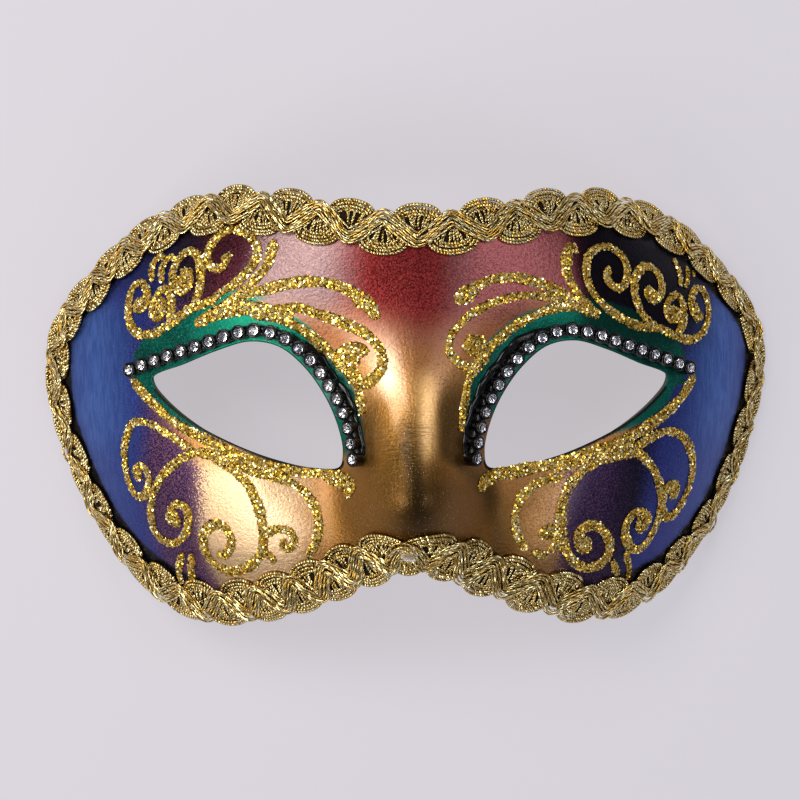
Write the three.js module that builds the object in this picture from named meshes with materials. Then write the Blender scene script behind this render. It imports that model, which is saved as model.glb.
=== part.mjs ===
// Rhinestone half mask of papier-mache, lying face up on its two temple edges.
// Millimetres. X runs across the face, Y from the cheeks to the forehead, Z up out of the face.
// The origin is on the resting plane, under the middle of the mask.

import * as THREE from 'three';
import { mergeVertices } from 'three/addons/utils/BufferGeometryUtils.js';

// Plan lines are drawn from the brow; this moves the middle of the mask's height to the origin
const MIDDLE_Y = 1.08;

// Face surface
const CROWN_HEIGHT = 47.4;
const CROWN_FALL_UP = 0.00173;
const CROWN_FALL_DOWN = 0.005;
const SIDE_DEPTH = 77.9;
const SIDE_SPAN = 87.2;
const SIDE_RATIO = 0.9;
const SIDE_TAPER_DOWN = 0.26;
const SIDE_TAPER_UP = 0.16;
const SIDE_ROUND_UP = 0.01;
const NOSE_HEIGHT = 15;
const NOSE_TOP_Y = 34;
const NOSE_LENGTH = 60;
const NOSE_REACH = 22;
const NOSE_REACH_SPREAD = 10;
const NOSE_TIP_FALL = 0.6;
const NOSE_TIP_Y = -16;
const NOSE_TIP_LENGTH = 20;
const SOCKET_DEPTH = 3.2;
const SOCKET_X = 24;
const SOCKET_Y = -5;
const SOCKET_HALF_WIDTH = 12;
const SOCKET_HALF_HEIGHT = 16;

// Paper shell
const SHELL_THICKNESS = 2.2;
const SHELL_REACH = 4.4;
const SHELL_REACH_FOLDED = 1.6;
const SHELL_RINGS = 7;
const BRIDGE_STEPS = 14;
const RIM_STEPS = 34;
const LEVEL_TRIM = 0.08;
const TRIM_STEP = 0.02;
const EYE_EDGE_WEIGHT = 1.5;

// Fineness of the measuring along lines, round the eye and over the surface
const LINE_STEPS = 4000;
const EDGE_STEPS = 1440;
const MIDDLE_STEPS = 200;
const TURN_STEPS = 720;
const BANDING_STEPS = 2000;
const WALK_STRIDE = 0.5;
const SLOPE_PROBE = 0.05;

// Scroll braid round the edge
const BRAID_GAP = 0.55;
const BRAID_FLOOR = 0.4;
const BRAID_PITCH = 16.75;
const BRAID_STEPS = 8;
const BRAID_PEAK_REACH = 4.3;
const BRAID_LOBE_REACH = 6.5;
const BRAID_LOBE_SHARE = 0.66;
const BRAID_EDGE_THICKNESS = 0.9;
const BRAID_WEB_THICKNESS = 1.3;
const BRAID_CORD_THICKNESS = 2.1;
const FOLD_START = 1;
const FOLD_RADIUS = 5;
const FOLD_TOP_Y = -15;
const FOLD_FULL_Y = -35;
const ZIGZAG_SWING = 3.4;
const SCALLOP_SWING = 4.6;
const CORD_INSET = 0.9;
const CROSSING_WIDTH = 1.2;
const WEB_FULL_WIDTH = 3;

// Rhinestone banding along the upper lid
const STONES_PER_EYE = 21;
const STONE_RADIUS = 1.5;
const STONE_TABLE_RADIUS = 0.85;
const STONE_HEIGHT = 0.9;
const STONE_GAP = 0.3;
const CUP_HEIGHT = 2.5;
const CUP_HALF_WIDTH = 1.95;
const CUP_HALF_LENGTH = 1;
const WEB_HEIGHT = 1.7;
const WEB_HALF_WIDTH = 1;
const WEB_START = 1.65;
const BANDING_GAP = 0.4;

// Right half of the braid's centre line in plan, from the middle of the forehead to the nose
const BRAID_LINE = [
  [0, 43.8], [9, 43.9], [24, 46], [38, 46.6], [49.5, 44.8], [59, 40.6], [68.6, 34], [76.6, 26],
  [83.6, 17], [86, 8], [85.2, -3.6], [82.6, -14], [78.8, -24.4], [73.4, -34.6], [64.6, -44.6],
  [57.4, -49], [50, -50.4], [42.5, -49.2], [27.4, -43.8], [14, -37], [6.5, -33], [0, -32.2],
];

// Right eye hole in plan, on the front face, from its outer corner over the lid and back below
const EYE_LINE = [
  [61.6, 7.2], [54, 10.9], [46, 14.6], [38.4, 17], [31.6, 16], [25.6, 11.2], [20.6, 4],
  [17.7, -3], [16.7, -8.6], [17.6, -12.2], [24, -12.8], [33, -10.9], [43, -7.3], [52, -3],
  [58.4, 1.6], [61.4, 5],
];
const EYE_CENTRE = [38.5, 1];

// Foot of the right banding in plan, from the temple to the side of the nose
const BANDING_LINE = [
  [65.9, 8.7], [58.3, 12], [49.5, 15.5], [41.5, 18.6], [36.3, 19.7], [30, 18.4], [24.3, 14.3],
  [19, 8], [15.4, 2.2], [13.5, -3.6], [12.6, -9.5],
];

// Colours of the pieces
const WINE_PAINT = 0x7a2f35;
const ANTIQUE_GOLD = 0xb8963e;
const BLACK_PLASTIC = 0x0c0c0e;
const CLEAR_STONE = 0xe6e9ee;

// A ramp that is zero below, straight above, and rounded where it starts.
function softRamp(value, softness) {
  return softness * Math.log1p(Math.exp(value / softness));
}

function clamp01(value) {
  return Math.min(Math.max(value, 0), 1);
}

function smoothStep(value) {
  const t = clamp01(value);
  return t * t * (3 - 2 * t);
}

function hill(x, y, cx, cy, halfWidth, halfHeight) {
  return Math.exp(-(((x - cx) / halfWidth) ** 2) - ((y - cy) / halfHeight) ** 2);
}

// Height of the front of the paper over the resting plane: an arched face that drops at the
// sides as an ellipse does, with a nose bridge and a hollow at the inner corner of each eye.
function faceHeight(x, y) {
  const side = Math.abs(x);
  const crown = CROWN_HEIGHT - CROWN_FALL_UP * softRamp(y + 3, 5) ** 2
    - CROWN_FALL_DOWN * softRamp(-y - 5, 5) ** 2;
  const span = SIDE_SPAN - SIDE_TAPER_DOWN * softRamp(4 - y, 5)
    - SIDE_TAPER_UP * softRamp(y - 10, 4) - SIDE_ROUND_UP * softRamp(y - 8, 5) ** 2;
  const across = Math.min(side * SIDE_RATIO / span, 0.99);
  const drop = SIDE_DEPTH * (1 - Math.sqrt(1 - across * across));
  const reach = NOSE_REACH + NOSE_REACH_SPREAD * clamp01((y + 8) / 40) ** 1.5;
  const tip = 1 - NOSE_TIP_FALL * smoothStep((NOSE_TIP_Y - y) / NOSE_TIP_LENGTH);
  const bridge = NOSE_HEIGHT * smoothStep((NOSE_TOP_Y - y) / NOSE_LENGTH) * tip;
  const nose = bridge * 0.5 * (1 + Math.cos(Math.PI * Math.min(side / reach, 1)));
  const socket = SOCKET_DEPTH
    * hill(side, y, SOCKET_X, SOCKET_Y, SOCKET_HALF_WIDTH, SOCKET_HALF_HEIGHT);
  return crown - drop + nose - socket;
}

function faceNormal(x, y) {
  const probe = SLOPE_PROBE;
  const slopeX = (faceHeight(x + probe, y) - faceHeight(x - probe, y)) / (2 * probe);
  const slopeY = (faceHeight(x, y + probe) - faceHeight(x, y - probe)) / (2 * probe);
  return new THREE.Vector3(-slopeX, -slopeY, 1).normalize();
}

// Point at a distance in front of (positive) or behind (negative) the face surface.
function facePoint(x, y, lift) {
  return new THREE.Vector3(x, y, faceHeight(x, y)).addScaledVector(faceNormal(x, y), lift);
}

// Plan point reached by walking a distance over the surface in one plan direction.
function walk(start, direction, distance) {
  const steps = Math.max(1, Math.ceil(Math.abs(distance) / WALK_STRIDE));
  const stride = distance / steps;
  const probe = SLOPE_PROBE;
  let [x, y] = start;
  for (let i = 0; i < steps; i += 1) {
    const ahead = faceHeight(x + direction[0] * probe, y + direction[1] * probe);
    const behind = faceHeight(x - direction[0] * probe, y - direction[1] * probe);
    const plan = stride / Math.hypot(1, (ahead - behind) / (2 * probe));
    x += direction[0] * plan;
    y += direction[1] * plan;
  }
  return [x, y];
}

// Evenly spaced stations along a plan curve, measured over the surface. Each has its plan
// point, the surface normal, the direction along the curve and the plan direction to its right.
function stationsAlong(curve, stationCount, closed) {
  const points = [];
  const lengths = [0];
  for (let i = 0; i <= LINE_STEPS; i += 1) {
    const plan = curve.getPoint(i / LINE_STEPS);
    points.push(new THREE.Vector3(plan.x, plan.y, faceHeight(plan.x, plan.y)));
    if (i > 0) lengths.push(lengths[i - 1] + points[i].distanceTo(points[i - 1]));
  }
  const total = lengths[LINE_STEPS];
  const stations = [];
  let k = 0;
  for (let i = 0; i < stationCount; i += 1) {
    const target = total * i / (closed ? stationCount : stationCount - 1);
    while (k < LINE_STEPS - 1 && lengths[k + 1] < target) k += 1;
    const share = (target - lengths[k]) / (lengths[k + 1] - lengths[k]);
    const point = points[k].clone().lerp(points[k + 1], share);
    const along = points[k + 1].clone().sub(points[k]).normalize();
    const normal = faceNormal(point.x, point.y);
    const right = along.clone().cross(normal).normalize();
    const level = Math.hypot(right.x, right.y);
    stations.push({
      plan: [point.x, point.y],
      point,
      normal,
      along,
      right,
      outward: [right.x / level, right.y / level],
    });
  }
  return { stations, total };
}

// Share of the braid's fold at a station: none over the forehead, all of it under the cheeks.
function foldShare(station) {
  return smoothStep((FOLD_TOP_Y - station.plan[1]) / (FOLD_TOP_Y - FOLD_FULL_Y));
}

// Point of the braid at a distance across its line, folded down over the edge of the paper.
function foldedPoint(station, reach, lift) {
  const past = Math.max(reach - FOLD_START, 0) * foldShare(station);
  const turn = past / FOLD_RADIUS;
  const level = reach - past + FOLD_RADIUS * Math.sin(turn);
  const [x, y] = walk(station.plan, station.outward, level);
  const normal = faceNormal(x, y);
  const away = station.right.clone().addScaledVector(normal, -normal.dot(station.right)).normalize();
  const point = facePoint(x, y, -FOLD_RADIUS * (1 - Math.cos(turn)));
  point.addScaledVector(normal, lift * Math.cos(turn));
  return point.addScaledVector(away, lift * Math.sin(turn));
}

function planCurve(points, closed) {
  const vectors = points.map(([x, y]) => new THREE.Vector3(x, y, 0));
  return new THREE.CatmullRomCurve3(vectors, closed, 'centripetal');
}

// Closed solid from a row of sections with the same number of corners, each anticlockwise
// when seen from the start of the row. A closed row joins its last section to its first.
function sweptSolid(sections, closed) {
  const corners = sections[0].length;
  const positions = sections.flat().flatMap((corner) => [corner.x, corner.y, corner.z]);
  const index = [];
  const spans = closed ? sections.length : sections.length - 1;
  for (let i = 0; i < spans; i += 1) {
    const here = i * corners;
    const next = ((i + 1) % sections.length) * corners;
    for (let j = 0; j < corners; j += 1) {
      const k = (j + 1) % corners;
      index.push(here + j, next + k, here + k);
      index.push(here + j, next + j, next + k);
    }
  }
  if (!closed) {
    const last = (sections.length - 1) * corners;
    for (let j = 1; j < corners - 1; j += 1) {
      index.push(0, j, j + 1);
      index.push(last, last + j + 1, last + j);
    }
  }
  const geometry = new THREE.BufferGeometry();
  geometry.setAttribute('position', new THREE.Float32BufferAttribute(positions, 3));
  geometry.setIndex(index);
  geometry.computeVertexNormals();
  return geometry;
}

function paint(color, roughness, metalness) {
  return new THREE.MeshStandardMaterial({ color, roughness, metalness });
}

function namedMesh(name, geometry, material) {
  const mesh = new THREE.Mesh(geometry, material);
  mesh.name = name;
  return mesh;
}

// Whole braid line, anticlockwise from the middle of the nose when seen from the front.
function braidCurve() {
  const rightUp = [...BRAID_LINE].reverse();
  const leftDown = BRAID_LINE.slice(1, -1).map(([x, y]) => [-x, y]);
  return planCurve([...rightUp, ...leftDown], true);
}

// Distance from a centre to a closed plan loop in each direction, as a function of the angle.
function polarLoop(loop, centre) {
  const rays = loop.map(([x, y]) => ({
    angle: Math.atan2(y - centre[1], x - centre[0]),
    radius: Math.hypot(x - centre[0], y - centre[1]),
  }));
  rays.sort((a, b) => a.angle - b.angle);
  const first = rays[0];
  const last = rays[rays.length - 1];
  rays.unshift({ angle: last.angle - 2 * Math.PI, radius: last.radius });
  rays.push({ angle: first.angle + 2 * Math.PI, radius: first.radius });
  return (angle) => {
    const turned = Math.atan2(Math.sin(angle), Math.cos(angle));
    let k = 1;
    while (rays[k].angle < turned) k += 1;
    const share = (turned - rays[k - 1].angle) / (rays[k].angle - rays[k - 1].angle);
    return rays[k - 1].radius + share * (rays[k].radius - rays[k - 1].radius);
  };
}

// Plan loop round the right half of one face of the paper: its outer edge, cut back where the
// paper stands on the table, and the centre line.
function halfLoop(lift) {
  const { stations } = stationsAlong(braidCurve(), EDGE_STEPS, true);
  const edge = [];
  for (const station of stations) {
    if (station.plan[0] < 0) continue;
    const folded = foldShare(station);
    let reach = THREE.MathUtils.lerp(SHELL_REACH, SHELL_REACH_FOLDED, folded);
    let plan = walk(station.plan, station.outward, reach);
    while (facePoint(plan[0], plan[1], lift).z < 0) {
      reach -= TRIM_STEP;
      plan = walk(station.plan, station.outward, reach);
    }
    if (plan[0] > 0) edge.push(plan);
  }
  const ys = edge.filter(([x]) => x < 1).map(([, y]) => y);
  const top = Math.max(...ys);
  const bottom = Math.min(...ys);
  const middle = [];
  for (let i = 0; i <= MIDDLE_STEPS; i += 1) {
    middle.push([0, bottom + (top - bottom) * i / MIDDLE_STEPS]);
  }
  return { loop: [...edge, ...middle], top, bottom };
}

// Angles round the eye at which the paper is divided, closest where both edges are longest.
function divideAngles(inner, outer, from, to, steps) {
  const travelled = [0];
  const spot = (radius, angle) => [radius * Math.cos(angle), radius * Math.sin(angle)];
  for (let i = 1; i <= TURN_STEPS; i += 1) {
    const a = from + (to - from) * (i - 1) / TURN_STEPS;
    const b = from + (to - from) * i / TURN_STEPS;
    const [ax, ay] = spot(outer(a), a);
    const [bx, by] = spot(outer(b), b);
    const [cx, cy] = spot(inner(a), a);
    const [dx, dy] = spot(inner(b), b);
    const length = Math.hypot(bx - ax, by - ay) + EYE_EDGE_WEIGHT * Math.hypot(dx - cx, dy - cy);
    travelled.push(travelled[i - 1] + length);
  }
  const angles = [];
  let k = 0;
  for (let i = 0; i < steps; i += 1) {
    const target = travelled[TURN_STEPS] * i / steps;
    while (travelled[k + 1] < target) k += 1;
    const share = (target - travelled[k]) / (travelled[k + 1] - travelled[k]);
    angles.push(from + (to - from) * (k + share) / TURN_STEPS);
  }
  return angles;
}

// Papier-mache shell: front and back skins between the eye hole and the outer edge, made for
// the right half and mirrored, joined by the cut edges of the paper.
function paperShell() {
  const front = halfLoop(0);
  const back = halfLoop(-SHELL_THICKNESS);
  const [cx, cy] = EYE_CENTRE;
  const eyePoints = planCurve(EYE_LINE, true).getPoints(TURN_STEPS).slice(0, -1);
  const inner = polarLoop(eyePoints.map(({ x, y }) => [x, y]), EYE_CENTRE);
  const outerFront = polarLoop(front.loop, EYE_CENTRE);
  const outerBack = polarLoop(back.loop, EYE_CENTRE);
  const topAngle = Math.atan2(front.top - cy, -cx);
  const bottomAngle = Math.atan2(front.bottom - cy, -cx) + 2 * Math.PI;
  const bridge = divideAngles(inner, outerFront, topAngle, bottomAngle, BRIDGE_STEPS);
  const rim = divideAngles(inner, outerFront, bottomAngle, topAngle + 2 * Math.PI, RIM_STEPS);
  const angles = [...bridge, ...rim];
  const count = angles.length;

  const skin = (outer, lift) => {
    const rows = [];
    for (let ring = 0; ring <= SHELL_RINGS; ring += 1) {
      rows.push(angles.map((angle, i) => {
        const near = inner(angle);
        const reach = near + (outer(angle) - near) * ring / SHELL_RINGS;
        const onMiddle = ring === SHELL_RINGS && i <= BRIDGE_STEPS;
        const x = onMiddle ? 0 : cx + reach * Math.cos(angle);
        const point = facePoint(x, cy + reach * Math.sin(angle), lift);
        if (onMiddle) point.x = 0;
        if (ring === SHELL_RINGS && point.z < LEVEL_TRIM) point.z = 0;
        return point;
      }));
    }
    return rows;
  };
  const frontRows = skin(outerFront, 0);
  const backRows = skin(outerBack, -SHELL_THICKNESS);

  const positions = [];
  const face = (...points) => {
    for (const point of points) positions.push(point.x, point.y, point.z);
    for (const point of [...points].reverse()) positions.push(-point.x, point.y, point.z);
  };
  for (let ring = 0; ring < SHELL_RINGS; ring += 1) {
    for (let i = 0; i < count; i += 1) {
      const j = (i + 1) % count;
      const [a, b] = [frontRows[ring][i], frontRows[ring][j]];
      const [c, d] = [frontRows[ring + 1][j], frontRows[ring + 1][i]];
      face(a, c, b);
      face(a, d, c);
      const [e, f] = [backRows[ring][i], backRows[ring][j]];
      const [g, h] = [backRows[ring + 1][j], backRows[ring + 1][i]];
      face(e, f, g);
      face(e, g, h);
    }
  }
  for (let i = 0; i < count; i += 1) {
    const j = (i + 1) % count;
    face(frontRows[0][i], frontRows[0][j], backRows[0][j]);
    face(frontRows[0][i], backRows[0][j], backRows[0][i]);
    if (i >= BRIDGE_STEPS) {
      const [a, b] = [frontRows[SHELL_RINGS][i], frontRows[SHELL_RINGS][j]];
      const [c, d] = [backRows[SHELL_RINGS][j], backRows[SHELL_RINGS][i]];
      face(a, c, b);
      face(a, d, c);
    }
  }
  const geometry = new THREE.BufferGeometry();
  geometry.setAttribute('position', new THREE.Float32BufferAttribute(positions, 3));
  const joined = mergeVertices(geometry, 0.001);
  joined.computeVertexNormals();
  return joined;
}

// One turn of the braid pattern: a zigzag of cords with round lobes opposite its corners.
function braidPattern(phase) {
  const fold = (value) => Math.abs(value - Math.round(value));
  const lobe = (distance) => Math.sqrt(Math.max(0, 1 - (2 * distance / BRAID_LOBE_SHARE) ** 2));
  const outerLobe = lobe(fold(phase));
  const innerLobe = lobe(fold(phase + 0.5));
  const swing = 4 * fold(phase) - 1;
  return {
    outer: BRAID_PEAK_REACH + (BRAID_LOBE_REACH - BRAID_PEAK_REACH) * outerLobe,
    inner: BRAID_PEAK_REACH + (BRAID_LOBE_REACH - BRAID_PEAK_REACH) * innerLobe,
    zigzag: ZIGZAG_SWING * swing,
    scallop: -SCALLOP_SWING * Math.sin(Math.PI / 2 * swing),
  };
}

// Braid glued over the edge of the paper, its outer lobes past the edge. Where the mask stands
// on its temples the lobes bend up from the table.
function scrollBraid() {
  const length = stationsAlong(braidCurve(), 2, true).total;
  const repeats = 2 * Math.round(length / BRAID_PITCH / 2);
  const { stations } = stationsAlong(braidCurve(), repeats * BRAID_STEPS, true);
  const sections = stations.map((station, i) => {
    const { outer, inner, zigzag, scallop } = braidPattern(i / BRAID_STEPS);
    const at = (reach, thickness) => {
      const foot = foldedPoint(station, reach, BRAID_GAP);
      const point = foldedPoint(station, reach, BRAID_GAP + thickness);
      point.z += Math.max(0, BRAID_FLOOR - Math.min(foot.z, point.z));
      return point;
    };
    const low = Math.min(zigzag, scallop) * CORD_INSET;
    const high = Math.max(zigzag, scallop) * CORD_INSET;
    const ridge = high - low < CROSSING_WIDTH ? CROSSING_WIDTH / 2 : 0;
    const webShare = clamp01((high - low) / WEB_FULL_WIDTH);
    const web = THREE.MathUtils.lerp(BRAID_CORD_THICKNESS, BRAID_WEB_THICKNESS, webShare);
    return [
      at(-inner, 0),
      at(-inner / 3, 0),
      at(outer / 3, 0),
      at(outer, 0),
      at(outer, BRAID_EDGE_THICKNESS),
      at(high + ridge, BRAID_CORD_THICKNESS),
      at((high + low) / 2, web),
      at(low - ridge, BRAID_CORD_THICKNESS),
      at(-inner, BRAID_EDGE_THICKNESS),
    ];
  });
  return sweptSolid(sections, true);
}

// Stations of the stones of one eye, from the temple to the nose.
function stoneStations(side) {
  const line = BANDING_LINE.map(([x, y]) => [side * x, y]);
  return stationsAlong(planCurve(line, false), STONES_PER_EYE, false);
}

// Black plastic strip: a round cup under each stone, joined by a narrower web.
function stoneBanding(side) {
  const line = BANDING_LINE.map(([x, y]) => [side * x, y]);
  const curve = planCurve(line, false);
  const { stations, total } = stationsAlong(curve, BANDING_STEPS + 1, false);
  const pitch = total / (STONES_PER_EYE - 1);
  const ahead = (distance) => {
    const inside = THREE.MathUtils.clamp(distance, 0, total);
    const station = stations[Math.round(inside / total * BANDING_STEPS)];
    const past = distance - inside;
    const over = Math.hypot(station.along.x, station.along.y);
    const heading = [station.along.x / over, station.along.y / over];
    return { ...station, plan: walk(station.plan, heading, past) };
  };
  const section = (distance, halfWidth, height) => {
    const station = ahead(distance);
    const foot = (reach) => facePoint(...walk(station.plan, station.outward, reach), BANDING_GAP);
    const [x, y] = station.plan;
    const top = (reach) => facePoint(x, y, height).addScaledVector(station.right, reach);
    return [top(-halfWidth), foot(-halfWidth), foot(halfWidth), top(halfWidth)];
  };
  const sections = [];
  for (let i = 0; i < STONES_PER_EYE; i += 1) {
    const middle = i * pitch;
    sections.push(section(middle - WEB_START, WEB_HALF_WIDTH, WEB_HEIGHT));
    sections.push(section(middle - CUP_HALF_LENGTH, CUP_HALF_WIDTH, CUP_HEIGHT));
    sections.push(section(middle + CUP_HALF_LENGTH, CUP_HALF_WIDTH, CUP_HEIGHT));
    sections.push(section(middle + WEB_START, WEB_HALF_WIDTH, WEB_HEIGHT));
  }
  return sweptSolid(sections, false);
}

// Cut stone over its cup, its table facing away from the paper.
function stone(station) {
  const geometry = new THREE.CylinderGeometry(STONE_TABLE_RADIUS, STONE_RADIUS, STONE_HEIGHT, 8);
  const middle = CUP_HEIGHT + STONE_GAP + STONE_HEIGHT / 2;
  const [x, y] = station.plan;
  const turn = new THREE.Quaternion();
  turn.setFromUnitVectors(new THREE.Vector3(0, 1, 0), station.normal);
  return { geometry, position: facePoint(x, y, middle), turn };
}

const mask = new THREE.Group();
mask.add(namedMesh('paper_shell', paperShell(), paint(WINE_PAINT, 0.4, 0.35)));
mask.add(namedMesh('scroll_braid', scrollBraid(), paint(ANTIQUE_GOLD, 0.35, 0.8)));
for (const [label, side] of [['left', -1], ['right', 1]]) {
  mask.add(namedMesh(`banding_${label}`, stoneBanding(side), paint(BLACK_PLASTIC, 0.3, 0)));
  stoneStations(side).stations.forEach((station, i) => {
    const { geometry, position, turn } = stone(station);
    const number = String(i + 1).padStart(2, '0');
    const mesh = namedMesh(`stone_${label}_${number}`, geometry, paint(CLEAR_STONE, 0.05, 0));
    mesh.position.copy(position);
    mesh.quaternion.copy(turn);
    mask.add(mesh);
  });
}
for (const piece of mask.children) piece.position.y += MIDDLE_Y;

export default mask;
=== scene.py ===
# Rhinestone half mask of papier-mache, lying face up: the finish of each piece.
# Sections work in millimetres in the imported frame: X across the face, Y to the forehead and
# Z up out of the face. A mesh, lamp or camera is turned to metres where it is made.

import math

import bpy
import numpy as np
from mathutils import Matrix


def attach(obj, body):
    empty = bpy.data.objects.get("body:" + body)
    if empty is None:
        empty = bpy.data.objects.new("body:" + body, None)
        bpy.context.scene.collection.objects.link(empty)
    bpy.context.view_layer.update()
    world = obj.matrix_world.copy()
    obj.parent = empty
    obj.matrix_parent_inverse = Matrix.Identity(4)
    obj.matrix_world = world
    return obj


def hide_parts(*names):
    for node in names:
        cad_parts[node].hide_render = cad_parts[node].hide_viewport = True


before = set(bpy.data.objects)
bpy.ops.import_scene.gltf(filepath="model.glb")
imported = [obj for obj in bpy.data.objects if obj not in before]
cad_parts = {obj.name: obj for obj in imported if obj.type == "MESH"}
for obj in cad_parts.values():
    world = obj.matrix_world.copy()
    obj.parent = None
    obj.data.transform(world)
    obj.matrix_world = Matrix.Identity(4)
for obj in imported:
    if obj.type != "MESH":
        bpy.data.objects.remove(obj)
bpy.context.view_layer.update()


# Camera
# It looks down on the mask as it lies face up. Against the face it stands where the
# photograph was taken from: almost straight in front, a little above and to the left.

MM = 0.001
CAMERA_DISTANCE = 720
CAMERA_YAW = 2.35
CAMERA_TILT = 8.29
CAMERA_ROLL = 0.1
CAMERA_AIM = np.array([0.0, 0.08, 25.0])
AIM_TO_LEFT = 2.47
AIM_TO_TOP = 1.8
SENSOR_WIDTH = 36
FOCAL_LENGTH = 134.05


def unit(vector):
    return vector / np.linalg.norm(vector, axis=-1, keepdims=True)


def make_camera():
    """Camera turned about its aim by yaw, tilt and roll, then shifted to frame the mask."""
    yaw, tilt, roll = np.radians([CAMERA_YAW, CAMERA_TILT, CAMERA_ROLL])
    back = np.array([-math.sin(yaw), math.sin(tilt) * math.cos(yaw), math.cos(tilt) * math.cos(yaw)])
    place = CAMERA_AIM + CAMERA_DISTANCE * back
    level = unit(np.cross(-back, [0, 1, 0]))
    upright = np.cross(level, -back)
    right = math.cos(roll) * level + math.sin(roll) * upright
    up = math.cos(roll) * upright - math.sin(roll) * level
    ahead = unit(CAMERA_AIM - AIM_TO_LEFT * right + AIM_TO_TOP * up - place)
    right = unit(np.cross(ahead, up))
    up = np.cross(right, ahead)
    data = bpy.data.cameras.new("camera")
    data.sensor_width = SENSOR_WIDTH
    data.lens = FOCAL_LENGTH
    camera = bpy.data.objects.new("camera", data)
    bpy.context.scene.collection.objects.link(camera)
    turned = np.column_stack([right, up, -ahead, place * MM])
    camera.matrix_world = Matrix([*turned.tolist(), [0, 0, 0, 1]])
    bpy.context.scene.camera = camera


make_camera()


# Paper shell
# Layers of paper pasted in a mould, about 2 mm thick, trimmed by knife round the edge and the
# eyes. The front is sponged with metallic acrylics that run into each other: gold on the nose
# and cheeks, wine and rose over the brow, violet and blue at the sides, green round the eyes.

# The lines below are drawn about a point this far from the middle of the part
MIDDLE_Y = 1.08

# The form: a crown that falls to the brow and to the chin, and sides that wrap the face
CROWN_HEIGHT = 47.4
CROWN_FALL_UP = 0.00173
CROWN_UP_FROM = -3
CROWN_FALL_DOWN = 0.005
CROWN_DOWN_FROM = -5
SIDE_DEPTH = 77.9
SIDE_SPAN = 87.2
SIDE_RATIO = 0.9
SIDE_STEEPEST = 0.99
SIDE_TAPER_DOWN = 0.26
SIDE_DOWN_FROM = 4
SIDE_TAPER_UP = 0.16
SIDE_UP_FROM = 10
SIDE_ROUND_UP = 0.01
SIDE_ROUND_FROM = 8
# The ridge of the nose widens towards the brow
NOSE_HEIGHT = 14.93
NOSE_TOP_Y = 34
NOSE_LENGTH = 60
NOSE_REACH = 22
NOSE_REACH_SPREAD = 10
NOSE_SPREAD_FROM = -8
NOSE_SPREAD_LENGTH = 40
NOSE_FOOT_SOFTNESS = 0.09
NOSE_TIP_FALL = 0.6
NOSE_TIP_Y = -16
NOSE_TIP_LENGTH = 20
# The hollow between the nose and each eye
SOCKET_DEPTH = 3.2
SOCKET_X = 24
SOCKET_Y = -5
SOCKET_HALF_WIDTH = 12
SOCKET_HALF_HEIGHT = 16

# The paper, how far it reaches past the braid's centre line, and less so where the braid folds
SHELL_THICKNESS = 2.2
SHELL_REACH = 4.4
SHELL_REACH_FOLDED = 1.6
FOLD_TOP_Y = -15
FOLD_FULL_Y = -35
# It is trimmed closer over the brow, up to this far from the middle of the face
BROW_TRIM = 1.4
BROW_TRIM_END = 62
BROW_TRIM_EASE = 14
# Its back is pared round the eyes, so that their rims look thin
EYE_PARED = 1.2
# Rings across the cut edge at the eye: share of the way back, and how much of the wobble
CUT_RINGS = [(0.3, 0.5), (0.6, 1.0), (0.85, 0.6)]
CUT_WOBBLE = 0.22
CUT_WOBBLE_STEPS = 5
# A foot lower than this is trimmed level with the table
LEVEL_TRIM = 0.08
# Half of the outline is laid this far past the middle of the face, to be cut there
PAST_MIDDLE = 0.5

# Fineness of the mesh and of the lines that it is laid between
BRIDGE_STEPS = 80
RIM_STEPS = 280
SHELL_RINGS = 42
RINGS_CLOSER_TO_EYE = 1.12
EYE_EDGE_WEIGHT = 1.5
OUTLINE_STEPS = 2400
MIDDLE_STEPS = 400
ANGLE_STEPS = 1500
BRAID_PROBES = 700
HALVINGS = 14
PROBE = 0.05

# Right half of the braid's centre line, from the middle of the forehead to the nose
BRAID_LINE = [
    (0, 43.8), (9, 43.9), (24, 46), (38, 46.6), (49.5, 44.8), (59, 40.6), (68.6, 34), (76.6, 26),
    (83.6, 17), (86, 8), (85.2, -3.6), (82.6, -14), (78.8, -24.4), (73.4, -34.6), (64.6, -44.6),
    (57.4, -49), (50, -50.4), (42.5, -49.2), (27.4, -43.8), (14, -37), (6.5, -33), (0, -32.2),
]
# Right eye hole, from its outer corner over the lid and back below
EYE_LINE = [
    (61.6, 7.2), (54, 10.9), (46, 14.6), (38.4, 17), (31.6, 16), (25.6, 11.2), (20.6, 4),
    (17.7, -3), (16.7, -8.6), (17.6, -12.2), (24, -12.8), (33, -10.9), (43, -7.3), (52, -3),
    (58.4, 1.6), (61.4, 5),
]
EYE_CENTRE = np.array([38.5, 1 + MIDDLE_Y])

# Where the sponged violet and blue begin, as distances from the middle of the face going down
PAINT_HEIGHTS = [-45, -38, -30, -22, -14, -6, 4, 14, 22, 30, 36, 44]
VIOLET_FROM_LEFT = [45, 48.5, 50.5, 50.5, 50.5, 55, 63, 58, 50, 42, 38, 36]
VIOLET_FROM_RIGHT = [35.6, 35.6, 35.4, 35.4, 37, 50, 60, 55, 47, 41, 38, 37]
BLUE_FROM_LEFT = [58, 61, 63, 65, 65, 64, 64, 65, 61, 57, 57, 58]
BLUE_FROM_RIGHT = [53, 53, 54, 57, 58, 59, 62, 66, 68, 71, 73, 75]

# How far the green reaches from the eye hole over the lid, from the nose to the temple
GREEN_PLACES = [12, 16, 22, 30, 36, 42, 46, 55, 62, 66]
GREEN_REACH_LEFT = [7.5, 8.5, 8, 8, 9, 12.5, 12.5, 12, 10.5, 8]
GREEN_REACH_RIGHT = [10, 11, 10, 9, 9.5, 10, 11, 11.5, 10, 8]

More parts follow.
